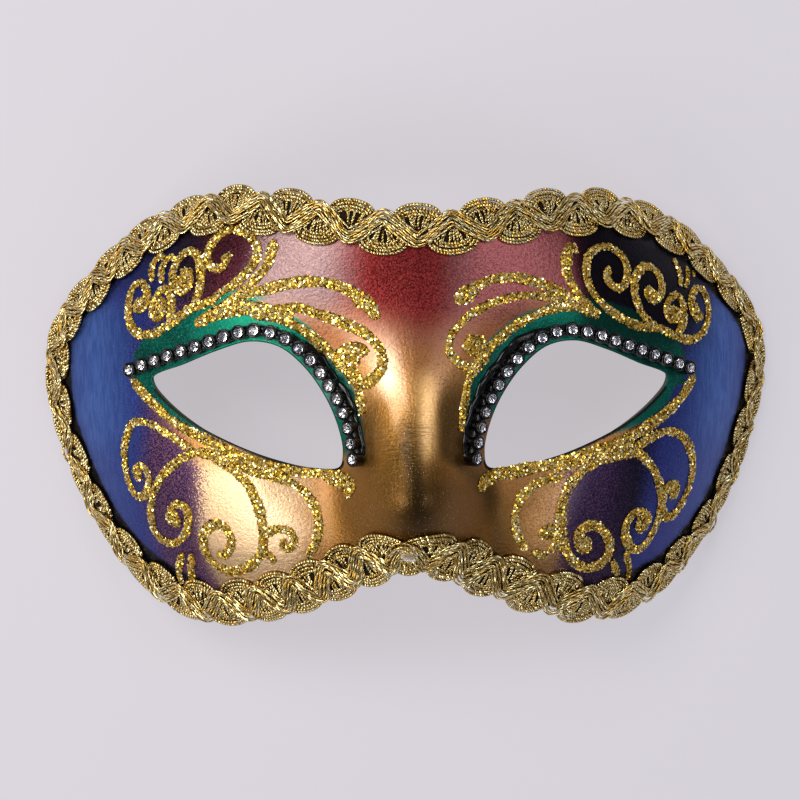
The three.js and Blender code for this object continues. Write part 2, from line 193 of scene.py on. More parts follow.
# How the braid was glued: share of the way round it from the nose, how far it is pushed
# outwards and how wide it is spread
BRAID_LAY = [
    (0, -0.6, 1.05), (0.08, -0.9, 1.1), (0.14, -1.5, 1.08), (0.2, 0, 1), (0.25, 0.4, 0.95),
    (0.285, 2.2, 0.72), (0.31, 3.4, 0.85), (0.335, 3.5, 0.95), (0.36, 3.1, 1), (0.38, 1.7, 1),
    (0.41, 0.3, 1), (0.45, -0.3, 0.96), (0.56, 0.1, 1), (0.59, 1.3, 0.98), (0.65, 1.2, 1),
    (0.68, 0.2, 0.95), (0.75, 0.4, 0.9), (0.78, -0.6, 1.02), (0.85, -1.5, 1.08),
    (0.93, -0.4, 1.05), (1, -0.6, 1.05),
]
BRAID_REACH = 6.3


def braid_margin(share):
    """Push outwards of the braid at a share of its length, and how far in its loops reach."""
    place, push, spread = np.array(BRAID_LAY).T
    pushed = np.interp(share % 1, place, push)
    return pushed, BRAID_REACH * np.interp(share % 1, place, spread) - pushed


def soft_ramp(value, softness=5):
    """0, then the value, with a rounded corner between."""
    return softness * np.log1p(np.exp(value / softness))


def smooth_step(value):
    t = np.clip(value, 0, 1)
    return t * t * (3 - 2 * t)


def face_height(x, y):
    """Height of the front of the paper over the table, at a plan point."""
    side = np.abs(x)
    y = y - MIDDLE_Y
    crown = (CROWN_HEIGHT - CROWN_FALL_UP * soft_ramp(y - CROWN_UP_FROM) ** 2
             - CROWN_FALL_DOWN * soft_ramp(CROWN_DOWN_FROM - y) ** 2)
    span = (SIDE_SPAN - SIDE_TAPER_DOWN * soft_ramp(SIDE_DOWN_FROM - y)
            - SIDE_TAPER_UP * soft_ramp(y - SIDE_UP_FROM, 4)
            - SIDE_ROUND_UP * soft_ramp(y - SIDE_ROUND_FROM) ** 2)
    across = np.minimum(side * SIDE_RATIO / span, SIDE_STEEPEST)
    drop = SIDE_DEPTH * (1 - np.sqrt(1 - across * across))
    spread = np.clip((y - NOSE_SPREAD_FROM) / NOSE_SPREAD_LENGTH, 0, 1) ** 1.5
    reach = NOSE_REACH + NOSE_REACH_SPREAD * spread
    tip = 1 - NOSE_TIP_FALL * smooth_step((NOSE_TIP_Y - y) / NOSE_TIP_LENGTH)
    bridge = NOSE_HEIGHT * smooth_step((NOSE_TOP_Y - y) / NOSE_LENGTH) * tip
    nearness = soft_ramp(1 - side / reach, NOSE_FOOT_SOFTNESS)
    nose = bridge * 0.5 * (1 + np.cos(np.pi * (1 - nearness)))
    hollow = (np.exp(-((side - SOCKET_X) / SOCKET_HALF_WIDTH) ** 2)
              + np.exp(-((side + SOCKET_X) / SOCKET_HALF_WIDTH) ** 2))
    socket = SOCKET_DEPTH * hollow * np.exp(-((y - SOCKET_Y) / SOCKET_HALF_HEIGHT) ** 2)
    return crown - drop + nose - socket


def face_normal(plan):
    x, y = plan[..., 0], plan[..., 1]
    slope_x = (face_height(x + PROBE, y) - face_height(x - PROBE, y)) / (2 * PROBE)
    slope_y = (face_height(x, y + PROBE) - face_height(x, y - PROBE)) / (2 * PROBE)
    return unit(np.stack([-slope_x, -slope_y, np.ones_like(slope_x)], -1))


def face_point(plan, lift):
    """Point at a lift straight out from the front of the paper over a plan point."""
    foot = np.concatenate([plan, face_height(plan[..., 0], plan[..., 1])[..., None]], -1)
    return foot + face_normal(plan) * np.asarray(lift)[..., None]


def walk(start, heading, distance, steps=16):
    """Plan points reached by walking a distance over the face in a plan direction."""
    plan = start.copy()
    stride = np.asarray(distance) / steps
    for _ in range(steps):
        ahead = plan + heading * PROBE
        behind = plan - heading * PROBE
        climb = face_height(ahead[:, 0], ahead[:, 1]) - face_height(behind[:, 0], behind[:, 1])
        plan += heading * (stride / np.hypot(1, climb / (2 * PROBE)))[:, None]
    return plan


def smooth_line(points, closed, per_span=60):
    """Plan line that runs smoothly through the points, with more bend where they are close."""
    p = np.array(points, float)
    if closed:
        p = np.concatenate([p[-1:], p, p[:2]])
    else:
        p = np.concatenate([2 * p[:1] - p[1:2], p, 2 * p[-1:] - p[-2:-1]])
    t = (np.arange(per_span) / per_span)[:, None]
    spans = []
    for p0, p1, p2, p3 in zip(p, p[1:], p[2:], p[3:]):
        d0, d1, d2 = (math.sqrt(np.linalg.norm(b - a)) for a, b in ((p0, p1), (p1, p2), (p2, p3)))
        leave = ((p1 - p0) / d0 - (p2 - p0) / (d0 + d1) + (p2 - p1) / d1) * d1
        arrive = ((p2 - p1) / d1 - (p3 - p1) / (d1 + d2) + (p3 - p2) / d2) * d1
        bend = -3 * p1 + 3 * p2 - 2 * leave - arrive
        ease = 2 * p1 - 2 * p2 + leave + arrive
        spans.append(p1 + leave * t + bend * t ** 2 + ease * t ** 3)
    if not closed:
        spans.append(p[-2:-1])
    return np.concatenate(spans)


def stations_along(line, count, closed):
    """Even stations along a plan line on the face: plan point, direction along, and total."""
    if closed:
        line = np.concatenate([line, line[:1]])
    feet = face_point(line, 0)
    lengths = np.concatenate([[0], np.cumsum(np.linalg.norm(np.diff(feet, axis=0), axis=1))])
    targets = np.linspace(0, lengths[-1], count, endpoint=not closed)
    feet = np.column_stack([np.interp(targets, lengths, feet[:, k]) for k in range(3)])
    if closed:
        along = np.roll(feet, -1, 0) - np.roll(feet, 1, 0)
    else:
        along = np.gradient(feet, axis=0)
    return feet[:, :2], unit(along), lengths[-1]


def plan_heading(plan, along):
    """Direction to the right of a line, on the face and in plan."""
    right = unit(np.cross(along, face_normal(plan)))
    return right, unit(right[:, :2])


def raised(points):
    """Drawn points in the plan of the part."""
    return [(x, y + MIDDLE_Y) for x, y in points]


def braid_line():
    """Closed line from the nose up the right side, over the brow and down the left."""
    right_up = BRAID_LINE[::-1]
    left_down = [(-x, y) for x, y in BRAID_LINE[1:-1]]
    return smooth_line(raised(right_up + left_down), closed=True)


def fold_share(y):
    """How much the braid folds round the edge: none beside the eyes, all below the cheeks."""
    return smooth_step((FOLD_TOP_Y - (y - MIDDLE_Y)) / (FOLD_TOP_Y - FOLD_FULL_Y))


def half_outline(lift):
    """Edge of one side of the paper round the right half, and its ends on the middle line.
    It ends sooner where it would reach below the table."""
    plan, along, _ = stations_along(braid_line(), OUTLINE_STEPS, closed=True)
    keep = plan[:, 0] > -PAST_MIDDLE
    plan, along = plan[keep], along[keep]
    _, heading = plan_heading(plan, along)
    share = fold_share(plan[:, 1])
    most = SHELL_REACH + (SHELL_REACH_FOLDED - SHELL_REACH) * share
    most -= BROW_TRIM * smooth_step((BROW_TRIM_END - plan[:, 0]) / BROW_TRIM_EASE) * (1 - share)
    low, high = np.zeros(len(plan)), most.copy()
    for _ in range(HALVINGS):
        reach = (low + high) / 2
        under = face_point(walk(plan, heading, reach), lift)[:, 2] < 0
        high = np.where(under, reach, high)
        low = np.where(under, low, reach)
    standing = face_point(walk(plan, heading, most), lift)[:, 2] < 0
    edge = walk(plan, heading, np.where(standing, low, most))
    edge = edge[edge[:, 0] > 0]
    near = edge[edge[:, 0] < 1]
    top, bottom = near[:, 1].max(), near[:, 1].min()
    middle = np.column_stack([np.zeros(MIDDLE_STEPS), np.linspace(bottom, top, MIDDLE_STEPS)])
    return np.concatenate([edge, middle]), top, bottom


def reach_by_angle(loop, angles):
    """Distance of a loop from the middle of the right eye, in each direction."""
    offset = loop - EYE_CENTRE
    angle = np.arctan2(offset[:, 1], offset[:, 0])
    order = np.argsort(angle)
    return np.interp(angles, angle[order], np.linalg.norm(offset, axis=1)[order], period=2 * np.pi)


def divide_angles(inner, outer, start, end, steps):
    """Directions from the eye that step evenly along both the eye's edge and the outline."""
    fine = np.linspace(start, end, ANGLE_STEPS)
    spot = [np.column_stack([reach_by_angle(loop, fine) * f(fine) for f in (np.cos, np.sin)])
            for loop in (outer, inner)]
    lengths = [np.linalg.norm(np.diff(s, axis=0), axis=1) for s in spot]
    travelled = np.concatenate([[0], np.cumsum(lengths[0] + EYE_EDGE_WEIGHT * lengths[1])])
    return np.interp(np.linspace(0, travelled[-1], steps + 1)[:-1], travelled, fine)


def distance_to_line(points, line):
    """Shortest distance from each point to a dense row of points, and which of them is nearest."""
    gaps, nearest = [], []
    for part in np.array_split(points, max(1, len(points) * len(line) // 4_000_000)):
        squares = ((part[:, None] - line[None]) ** 2).sum(-1)
        nearest.append(squares.argmin(1))
        gaps.append(np.sqrt(squares.min(1)))
    return np.concatenate(gaps), np.concatenate(nearest)


def ring_faces(rows, columns, closed=False):
    """Quads that join rings of points laid out row by row, or the last ring to the first too."""
    i, j = np.meshgrid(np.arange(rows if closed else rows - 1), np.arange(columns), indexing="ij")
    k, after = (j + 1) % columns, (i + 1) % rows
    quads = np.stack([i * columns + j, i * columns + k, after * columns + k, after * columns + j], -1)
    return quads.reshape(-1, 4)


def make_piece(name, points, faces, materials, face_material=None, smooth=True, uv=None,
               shades=None):
    """Mesh from millimetre points and arrays of faces, with named values on its points."""
    mesh = bpy.data.meshes.new(name)
    mesh.vertices.add(len(points))
    mesh.vertices.foreach_set("co", (points * MM).astype(np.float32).ravel())
    sizes = np.concatenate([np.full(len(f), f.shape[1]) for f in faces])
    corners = np.concatenate([f.ravel() for f in faces]).astype(np.int32)
    mesh.loops.add(len(corners))
    mesh.loops.foreach_set("vertex_index", corners)
    mesh.polygons.add(len(sizes))
    mesh.polygons.foreach_set("loop_start", (np.cumsum(sizes) - sizes).astype(np.int32))
    mesh.polygons.foreach_set("use_smooth", np.full(len(sizes), smooth))
    for material in materials:
        mesh.materials.append(material)
    if face_material is not None:
        mesh.polygons.foreach_set("material_index", face_material.astype(np.int32))
    mesh.update(calc_edges=True)
    if uv is not None:
        layer = mesh.uv_layers.new(name="cord")
        layer.data.foreach_set("uv", uv[corners].astype(np.float32).ravel())
    for label, values in (shades or {}).items():
        kind = "FLOAT" if values.ndim == 1 else "FLOAT_COLOR"
        attribute = mesh.attributes.new(label, kind, "POINT")
        key = "value" if values.ndim == 1 else "color"
        attribute.data.foreach_set(key, values.astype(np.float32).ravel())
    piece = bpy.data.objects.new(name, mesh)
    bpy.context.scene.collection.objects.link(piece)
    return piece


def linear(code):
    """Linear colour from an sRGB hex value such as '#a0b1c2'."""
    parts = [int(code[i:i + 2], 16) / 255 for i in (1, 3, 5)]
    return [c / 12.92 if c <= 0.04045 else ((c + 0.055) / 1.055) ** 2.4 for c in parts] + [1]


def add_node(tree, kind, inputs=None, output=0, **settings):
    """Node with its settings; an input is a value, a hex colour or the socket that feeds it.
    Returns the socket of one output."""
    node = tree.nodes.new("ShaderNode" + kind)
    for key, value in settings.items():
        setattr(node, key, value)
    for key, value in (inputs or {}).items():
        if isinstance(value, bpy.types.NodeSocket):
            tree.links.new(value, node.inputs[key])
        else:
            node.inputs[key].default_value = linear(value) if isinstance(value, str) else value
    return node.outputs[output] if node.outputs else None


def new_material(name):
    material = bpy.data.materials.new(name)
    material.use_nodes = True
    material.node_tree.nodes.clear()
    return material, material.node_tree


def finish_surface(material, inputs, height=None, depth=0.0, strength=1.0):
    """Close a material: its relief, with a depth in millimetres, then the shader and output."""
    tree = material.node_tree
    if height is not None:
        inputs["Normal"] = add_node(tree, "Bump", {
            "Height": height, "Distance": depth * MM, "Strength": strength})
    surface = add_node(tree, "BsdfPrincipled", inputs)
    add_node(tree, "OutputMaterial", {"Surface": surface})
    return material


def per_metre(millimetres):
    """Noise scale that gives features of a size in millimetres."""
    return 1 / (millimetres * MM)


def grain(tree, size, stretch=(1, 1, 1), detail=2.0, roughness=0.5):
    """Irregular grain over the piece, of a size in millimetres, as a number round 0.5."""
    place = add_node(tree, "TexCoord", output="Object")
    scaled = add_node(tree, "VectorMath", {0: place, 1: stretch}, operation="MULTIPLY")
    return add_node(tree, "TexNoise", {
        "Vector": scaled, "Scale": per_metre(size), "Detail": detail, "Roughness": roughness})


# From Min, From Max, To Min and To Max are inputs 1 to 4 of a range; a mixed colour is output 2
SMOOTHLY = {"interpolation_type": "SMOOTHSTEP"}


def mottled(tree, pattern, low, high, dark, light, most=1.0):
    """Two tones that follow a pattern, with the second up to a share of the whole."""
    share = add_node(tree, "MapRange", {0: pattern, 1: low, 2: high, 4: most}, **SMOOTHLY)
    return add_node(tree, "Mix", {0: share, 6: dark, 7: light}, 2, data_type="RGBA")


def painted_front():
    """Metallic acrylic sponged on sized paper under a satin varnish: a pebbled skin and fine
    flakes, with each colour's edge broken up into specks. Some light and shade is painted
    in too: highlights on the nose and left cheek, shade beside and below the nose, a
    reflection on the blue sides and glints on the specks."""
    material, tree = new_material("metallic_acrylic_on_paper")
    pebble = grain(tree, 0.75, detail=3)
    speck = grain(tree, 0.42, detail=2, roughness=0.7)
    cloud = grain(tree, 9)
    brush_down = grain(tree, 0.6, stretch=(1, 0.1, 0.3))
    brush_across = grain(tree, 0.35, stretch=(0.3, 1, 1), detail=3)

    def sponged(dark, light, low=0.35, high=0.65, pattern=speck):
        return mottled(tree, pattern, low, high, dark, light)

    def share(label, amount=1.0):
        """A share held on the points, times a number or a pattern."""
        held = add_node(tree, "Attribute", output="Fac", attribute_name=label)
        return add_node(tree, "Math", {0: held, 1: amount}, operation="MULTIPLY")

    def laid(under, paint, label, amount=1.0):
        """One paint over another by a share."""
        return add_node(tree, "Mix", {0: share(label, amount), 6: under, 7: paint}, 2,
                        data_type="RGBA")

    def spread(under, paint, label, width, ragged):
        """One paint over another up to its edge, which specks break up by some millimetres."""
        inside = add_node(tree, "Attribute", output="Fac", attribute_name=label)
        loose = add_node(tree, "Math", {0: speck, 1: 2 * ragged, 2: inside},
                         operation="MULTIPLY_ADD")
        return mottled(tree, loose, ragged - width / 2, ragged + width / 2, under, paint)

    gold = sponged("#a8743e", "#bd8a4e", 0.3, 0.7, cloud)
    gold = laid(gold, "#ae7a20", "nose", 0.66)
    # Painted highlight: over the left cheek, faint on the right, and down the left of the nose
    gold = laid(gold, "#ecc89c", "painted_highlight")
    gold = laid(gold, sponged("#7c3e24", "#b47446"), "copper")
    # Brown beside and below the nose, partly umber paint and partly painted shade in the hollow; the
    # right side below the eye gets more, as painted shade
    gold = laid(gold, sponged("#6c4a18", "#94662a", 0.3, 0.7), "umber_and_shade")
    streak = share("nose", add_node(tree, "MapRange", {0: brush_down, 1: 0.42, 2: 0.7}, **SMOOTHLY))
    tint = add_node(tree, "Math", {0: streak, 1: 0.12}, operation="MULTIPLY")
    gold = add_node(tree, "Mix", {0: tint, 6: gold, 7: "#6e4820"}, 2, data_type="RGBA")
    pits = add_node(tree, "MapRange", {0: speck, 1: 0.48, 2: 0.66}, **SMOOTHLY)
    gold = laid(gold, "#6a4322", "grain", pits)
    # Painted highlight: a pale band down the right of the nose ridge
    gold = laid(gold, "#ffca80", "ridge")
    # Dark brown paint and painted shade down the lower nose, and a painted shadow on its right flank
    gold = laid(gold, "#32240a", "tip")
    gold = laid(gold, "#503818", "low")

    rose = sponged("#7c6262", "#8f7577", 0.25, 0.75, brush_across)
    rose = laid(rose, sponged("#80403e", "#b0686a"), "dusk")
    brow = laid(rose, sponged("#520c0c", "#923030"), "wine_core")
    base = spread(gold, brow, "brow_mm", 11, 4)

    plum = sponged("#281a48", "#7a5068", 0.42, 0.62)
    plum = laid(plum, sponged("#1c1230", "#503456", 0.42, 0.62), "dusk")
    plum = laid(plum, sponged("#08051e", "#241a38", 0.45, 0.65), "deep")
    plum = laid(plum, sponged("#2c0c18", "#5c2430", 0.4, 0.65), "mulled")
    base = spread(base, plum, "violet_mm", 3, 8)

    navy = sponged("#242c78", "#364692", 0.4, 0.7)
    # Painted reflection: a lighter blue streak near the outer edge of each side
    navy = laid(navy, sponged("#3c5ea8", "#4c72ba", pattern=brush_down), "painted_side_reflection")
    base = spread(base, navy, "blue_mm", 7, 3)
    base = laid(base, "#040410", "night")

    leaf = sponged("#00443c", "#005e50", pattern=cloud)
    leaf = laid(leaf, "#068a6c", "emerald")
    leaf = mottled(tree, speck, 0.5, 0.75, leaf, "#009c7e", most=0.7)
    leaf = laid(leaf, "#003228", "night")
    base = spread(base, leaf, "green_mm", 1.1, 0.7)
    base = spread(base, "#141a10", "rim_mm", 0.5, 0.3)
    base = spread(base, "#1c1a26", "edge_mm", 0.6, 0.9)

    # Pale specks of metallic flake and gold dust in the paint, painted pale as glints: stronger on the
    # nose and gone where the night share is full
    glint = add_node(tree, "MapRange", {
        0: grain(tree, 0.3, detail=1, roughness=0.8), 1: 0.68, 2: 0.76, 4: 0.25}, **SMOOTHLY)
    glint = add_node(tree, "Math", {0: share("nose", glint), 1: 2.4, 2: glint},
                     operation="MULTIPLY_ADD")
    by_day = add_node(tree, "MapRange", {0: share("night"), 2: 0.8, 3: 1, 4: 0}, **SMOOTHLY)
    glint = add_node(tree, "Math", {0: glint, 1: by_day}, operation="MULTIPLY")
    base = add_node(tree, "Mix", {0: glint, 6: base, 7: "#d8c0a8"}, 2, data_type="RGBA")

    scratch = share("scratch", grain(tree, 0.5, stretch=(0.12, 1, 0.4)))
    skin = pebble
    for pattern, weight in ((speck, 0.5), (streak, 0.2), (scratch, 3.4)):
        skin = add_node(tree, "Math", {0: pattern, 1: weight, 2: skin}, operation="MULTIPLY_ADD")
    return finish_surface(material, {
        "Base Color": base,
        "Metallic": 0.88,
        "Roughness": add_node(
            tree, "MapRange", {0: speck, 1: 0.3, 2: 0.7, 3: 0.34, 4: 0.46}, **SMOOTHLY),
        "Coat Weight": share("varnish"),
        "Coat Roughness": 0.2}, skin, 0.11, 0.9)


def cut_edge():
    """Knife-cut paper daubed with the last dark paint on the brush: dull and a little fibrous."""
    material, tree = new_material("painted_cut_paper")
    fibre = grain(tree, 0.5, stretch=(1, 1, 3))
    colour = mottled(tree, fibre, 0.4, 0.7, "#10160f", "#39402a")
    return finish_surface(material, {"Base Color": colour, "Roughness": 0.55}, fibre, 0.15)


def bare_paper():
    """Bare papier-mache inside: matt, mottled by glue, with the edges of torn strips showing."""
    material, tree = new_material("bare_papier_mache")
    fibre = grain(tree, 0.8, detail=4)
    stain = grain(tree, 14, detail=3)
    place = add_node(tree, "TexCoord", output="Object")
    wander = add_node(tree, "TexNoise", {"Vector": place, "Scale": per_metre(12)}, "Color")
    torn = add_node(tree, "VectorMath", {0: wander, 1: (12 * MM,) * 3, 2: place},
                    operation="MULTIPLY_ADD")
    strips = {"Vector": torn, "Scale": per_metre(28)}
    gap = add_node(tree, "TexVoronoi", strips, "Distance", feature="DISTANCE_TO_EDGE")
    patch = add_node(tree, "TexVoronoi", strips, "Color")
    seam = add_node(tree, "MapRange", {0: gap, 2: 0.022}, **SMOOTHLY)
    colour = mottled(tree, stain, 0.35, 0.65, "#a8977c", "#cabca0")
    colour = mottled(tree, patch, 0.3, 0.7, colour, "#d6cab0", most=0.45)
    colour = add_node(tree, "Mix", {0: seam, 6: "#998869", 7: colour}, 2, data_type="RGBA")
    colour = mottled(tree, fibre, 0.55, 0.75, colour, "#e2d9c4", most=0.4)
    relief = add_node(tree, "Math", {0: fibre, 1: 0.4, 2: seam}, operation="MULTIPLY_ADD")
    return finish_surface(material, {"Base Color": colour, "Roughness": 0.85}, relief, 0.25)


def rise(value, start, width):
    """0 up to the start, then smoothly up to 1 over the width."""
    return smooth_step((value - start) / width)


def fall(value, end, width):
    """1, then smoothly down to 0 over the width before the end."""
    return smooth_step((end - value) / width)


def bell(value, middle, width):
    return np.exp(-((value - middle) / width) ** 2)


def paint_shades(plan, feet, eye_feet, braid_feet):
    """Where each colour lies, as millimetres inside its edge or as shares."""
    x, y = plan.T
    side = np.abs(x)
    left = x < 0

    def by_side(on_left, on_right, at, places):
        return np.where(left, np.interp(at, places, on_left), np.interp(at, places, on_right))

    eye_gap, _ = distance_to_line(feet, eye_feet)
    braid_gap, nearest = distance_to_line(feet, braid_feet)
    _, inward = braid_margin(nearest / len(braid_feet))

    # Green covers the lid, a narrow rim below the eye and a wisp up towards the brow
    lid = y > np.interp(side, [12, 17, 61], [-12, -9, 5.5])
    above = by_side(GREEN_REACH_LEFT, GREEN_REACH_RIGHT, side, GREEN_PLACES)
    below = np.interp(side, [44, 50, 56, 62, 68], [-0.2, 1.3, 2.8, 3.6, 1])
    wisp = np.interp(side, [31, 38, 44, 46], [-0.6, 0.7, 0.9, -9]) - np.abs(
        y - np.interp(side, [30, 36, 44], [28.2, 28.2, 26.5]))
    green = np.maximum(np.where(lid, above, below) - eye_gap, wisp)
    green = np.minimum(green, 66.5 - side)
    corner = 0.35 * (y - np.where(left, -8, 0.5))
    green = np.where(lid & (side < 20), np.minimum(green, corner), green)

    # A dark streak widens down the nose, partly dark brown paint and partly painted shade where
    # the lower nose turns down, and a painted shadow darkens its right flank
    streak_middle = np.interp(y, [-16, -6], [0.5, -2])
    streak_width = np.interp(y, [-16, -6, 2], [6.2, 4.2, 2.2])
    olive_and_shade = np.interp(y, [-30, -20, -14, -6, 0, 7], [0.6, 0.85, 0.95, 0.92, 0.72, 0])
    olive_and_shade = olive_and_shade * bell(x, streak_middle, streak_width)
    shadow = x - np.interp(y, [-26, -18, -12, -7, 4, 10], [16, 14, 9.5, 4.2, 4.0, 5])
    flank = smooth_step(shadow / np.interp(y, [-12, -4], [4.5, 2.4]))
    flank = flank * bell(np.maximum(shadow - 2.5, 0), 0, np.interp(y, [-12, -4], [5, 9]))
    beside_nose = np.interp(y, [-22, -8], [31, 18])
    brow_edge = np.interp(x, [-50, -30, -14, -6, 0, 8, 14, 30, 45],
                          [24.5, 25, 25.5, 23, 21.2, 22.8, 25.5, 27, 22])
    return {
        "nose": fall(side, 17, 8) * fall(y, 10, 8),
        "scratch": bell(x, -1, 7) * bell(y, -3.5, 6.5),
        "low": 0.4 * fall(y, -30, 7),
        # Dark brown paint and painted shade: the streak down the lower nose, the painted shadow on its
        # right flank, and two small darker patches, above the right eye and left of the nose
        "tip": np.maximum.reduce([
            olive_and_shade,
            0.7 * flank * fall(y, 15, 11),
            0.5 * bell(x, 24, 8) * bell(y, 25, 3),
            0.45 * bell(x, -11.5, 3.5) * fall(y, 9, 8) * rise(y, -16, 8)]),
        # Painted highlight: a pale band down the right of the nose ridge
        "ridge": bell(x, 2.6, 2.2) * fall(y, 15, 9) * rise(y, -10, 7),
        "grain": np.where(left, 0.3, 0.65) * fall(side, 40, 8)
        + np.where(left, 0.45, 0.25) * bell(y, 20, 7) * fall(side, 22, 8),
        # Painted highlight: over the left cheek, faint on the right, and down the left of the nose
        "painted_highlight": np.where(left, 1, 0.12) * rise(side, 20, 12) * fall(y, -8, 8)
        + bell(x, -6.5, 2.6) * fall(y, 22, 7) * rise(y, 4.5, 6.5),
        "copper": rise(y, 10, 11) * np.where(left, 0.75, 1) * fall(side, 30, 6),
        # Brown beside and below the nose, partly umber paint and partly painted shade in the hollow;
        # the right side below the eye gets more, as painted shade
        "umber_and_shade": fall(y, 2, 18) * fall(side, beside_nose, 15) * 0.85
        + np.where(left, 0, 0.6) * fall(y, -10, 12) * fall(side, 36, 16),
        "varnish": np.where(left, 0.9, 0.3) * fall(side, 46, 12) * fall(y, 30, 8)
        * (1 - fall(y, 2, 12) * fall(side, np.where(left, 27, 38), 10))
        * (1 - 0.9 * smooth_step(2 * olive_and_shade)) * (1 - 0.75 * smooth_step(green)) + 0.05,
        "deep": np.where(left, 0, 0.9) * fall(y, 4, 6) * rise(side, 45, 10)
        + np.where(left, 0.6, 0) * rise(y, 22, 6) * rise(side, 42, 6),
        "dusk": np.where(left, 0, rise(side, 3, 14)),
        "wine_core": fall(side, np.where(left, 22.5, 17), 13) * rise(y, 14, 10),
        "brow_mm": y - brow_edge,
        "violet_mm": side - by_side(VIOLET_FROM_LEFT, VIOLET_FROM_RIGHT, y, PAINT_HEIGHTS),
        "mulled": rise(y, 22, 8) * fall(side, 56, 10),
        "blue_mm": side - by_side(BLUE_FROM_LEFT, BLUE_FROM_RIGHT, y, PAINT_HEIGHTS),
        # Painted reflection: a lighter blue streak near the outer edge of each side
        "painted_side_reflection": bell(side, 76, 8) * fall(y, 30, 12) * (0.4 + 0.5 * rise(y, -16, 14)),
        "night": np.where(left, 0.62, 0.95) * rise(y, np.where(left, 24, 10), 12)
        * rise(side, np.where(left, 47, 36), 7) * fall(side, 78, 10),
        "green_mm": green,
        "emerald": np.where(left, 0.8, 0.35) * rise(side, 20, 12) * fall(side, 52, 12),
        "rim_mm": np.where(lid, 0.1, 0.75) - eye_gap,
        "edge_mm": np.where(side > 50, inward + 0.7, 2) - 2.4 * rise(y, 6, 12) * left
        + 0.3 * left * fall(y, -20, 8) * rise(side, 55, 6) - braid_gap,
    }


def make_shell():
    """Rings of points from each eye out to the paper's edge, on the front, over the cut edge at
    the eye and on the back; the left half mirrors the right one."""
    front_loop, front_top, front_bottom = half_outline(0)
    back_loop, _, _ = half_outline(-SHELL_THICKNESS)
    eye_loop = smooth_line(raised(EYE_LINE), closed=True)
    top = math.atan2(front_top - EYE_CENTRE[1], -EYE_CENTRE[0])
    bottom = math.atan2(front_bottom - EYE_CENTRE[1], -EYE_CENTRE[0]) + 2 * math.pi
    angles = np.concatenate([
        divide_angles(eye_loop, front_loop, top, bottom, BRIDGE_STEPS),
        divide_angles(eye_loop, front_loop, bottom, top + 2 * math.pi, RIM_STEPS)])
    count = len(angles)
    near = reach_by_angle(eye_loop, angles)
    directions = np.column_stack([np.cos(angles), np.sin(angles)])
    on_middle = np.arange(count) <= BRIDGE_STEPS

    def skin(loop, lift, pared):
        rings = np.linspace(0, 1, SHELL_RINGS + 1) ** RINGS_CLOSER_TO_EYE
        far = reach_by_angle(loop, angles)
        points = []
        for ring in rings:
            reach = near + pared * (1 - ring) ** 8 + (far - near) * ring
            plan = EYE_CENTRE + directions * reach[:, None]
            if ring == rings[-1]:
                plan[on_middle, 0] = 0
            point = face_point(plan, lift)
            if ring == rings[-1]:
                point[on_middle, 0] = 0
                point[point[:, 2] < LEVEL_TRIM, 2] = 0
            points.append(point)
        return points

    front = skin(front_loop, 0, 0)
    back = skin(back_loop, -SHELL_THICKNESS, EYE_PARED)
    walls = []
    random = np.random.default_rng(4)
    knots = np.arange(0, count + CUT_WOBBLE_STEPS, CUT_WOBBLE_STEPS)
    wobble = np.interp(np.arange(count), knots, random.uniform(0, CUT_WOBBLE, len(knots)),
                       period=count)
    for share, pull in CUT_RINGS:
        wall = front[0] + (back[0] - front[0]) * share
        wall[:, :2] += directions * (wobble * pull)[:, None]
        walls.append(wall)
    rows = [*front[::-1], *walls, *back]
    points = np.concatenate(rows)
    quads = ring_faces(len(rows), count, closed=True)
    parts = [0] * SHELL_RINGS + [1] * (len(walls) + 1) + [2] * SHELL_RINGS + [1]
    marks = np.repeat(parts, count)
    # The two halves join at the bridge, so no outer edge is made there
    joint = np.arange(BRIDGE_STEPS) + (len(rows) - 1) * count
    quads = np.delete(quads, joint, axis=0)
    marks = np.delete(marks, joint)
    shared = np.abs(points[:, 0]) < 1e-9
    mirrored = np.where(shared, np.arange(len(points)), len(points) + np.cumsum(~shared) - 1)
    points = np.concatenate([points, points[~shared] * [-1, 1, 1]])
    quads = np.concatenate([quads, mirrored[quads][:, ::-1]])
    marks = np.concatenate([marks, marks])

    eye_feet = face_point(eye_loop[::3], 0)
    eye_feet = np.concatenate([eye_feet, eye_feet * [-1, 1, 1]])
    braid_plan, _, _ = stations_along(braid_line(), BRAID_PROBES, closed=True)
    shades = paint_shades(points[:, :2], points, eye_feet, face_point(braid_plan, 0))
    materials = [painted_front(), cut_edge(), bare_paper()]
    shell = make_piece("paper_shell_fine", points, [quads], materials, face_material=marks,
                       shades=shades)
    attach(shell, "root")
    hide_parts("paper_shell")


make_shell()


# Scroll braid
# Gimp woven from foil-wrapped cord on a dark core: seven cords zigzag side by side, and round
# loops with ribs behind them stand out opposite each corner. It is glued over the paper's
# edge and folds down round it below the cheeks.

# Nothing of the braid comes nearer to the table than this
BRAID_FLOOR = 0.45
# It turns down from here on its outer side
FOLD_START = 1
FOLD_RADIUS = 5
FOLD_EASE = 0.55
BED_STEPS = 3000
REACH_STEP = 0.25
REACH_MOST = 10.5


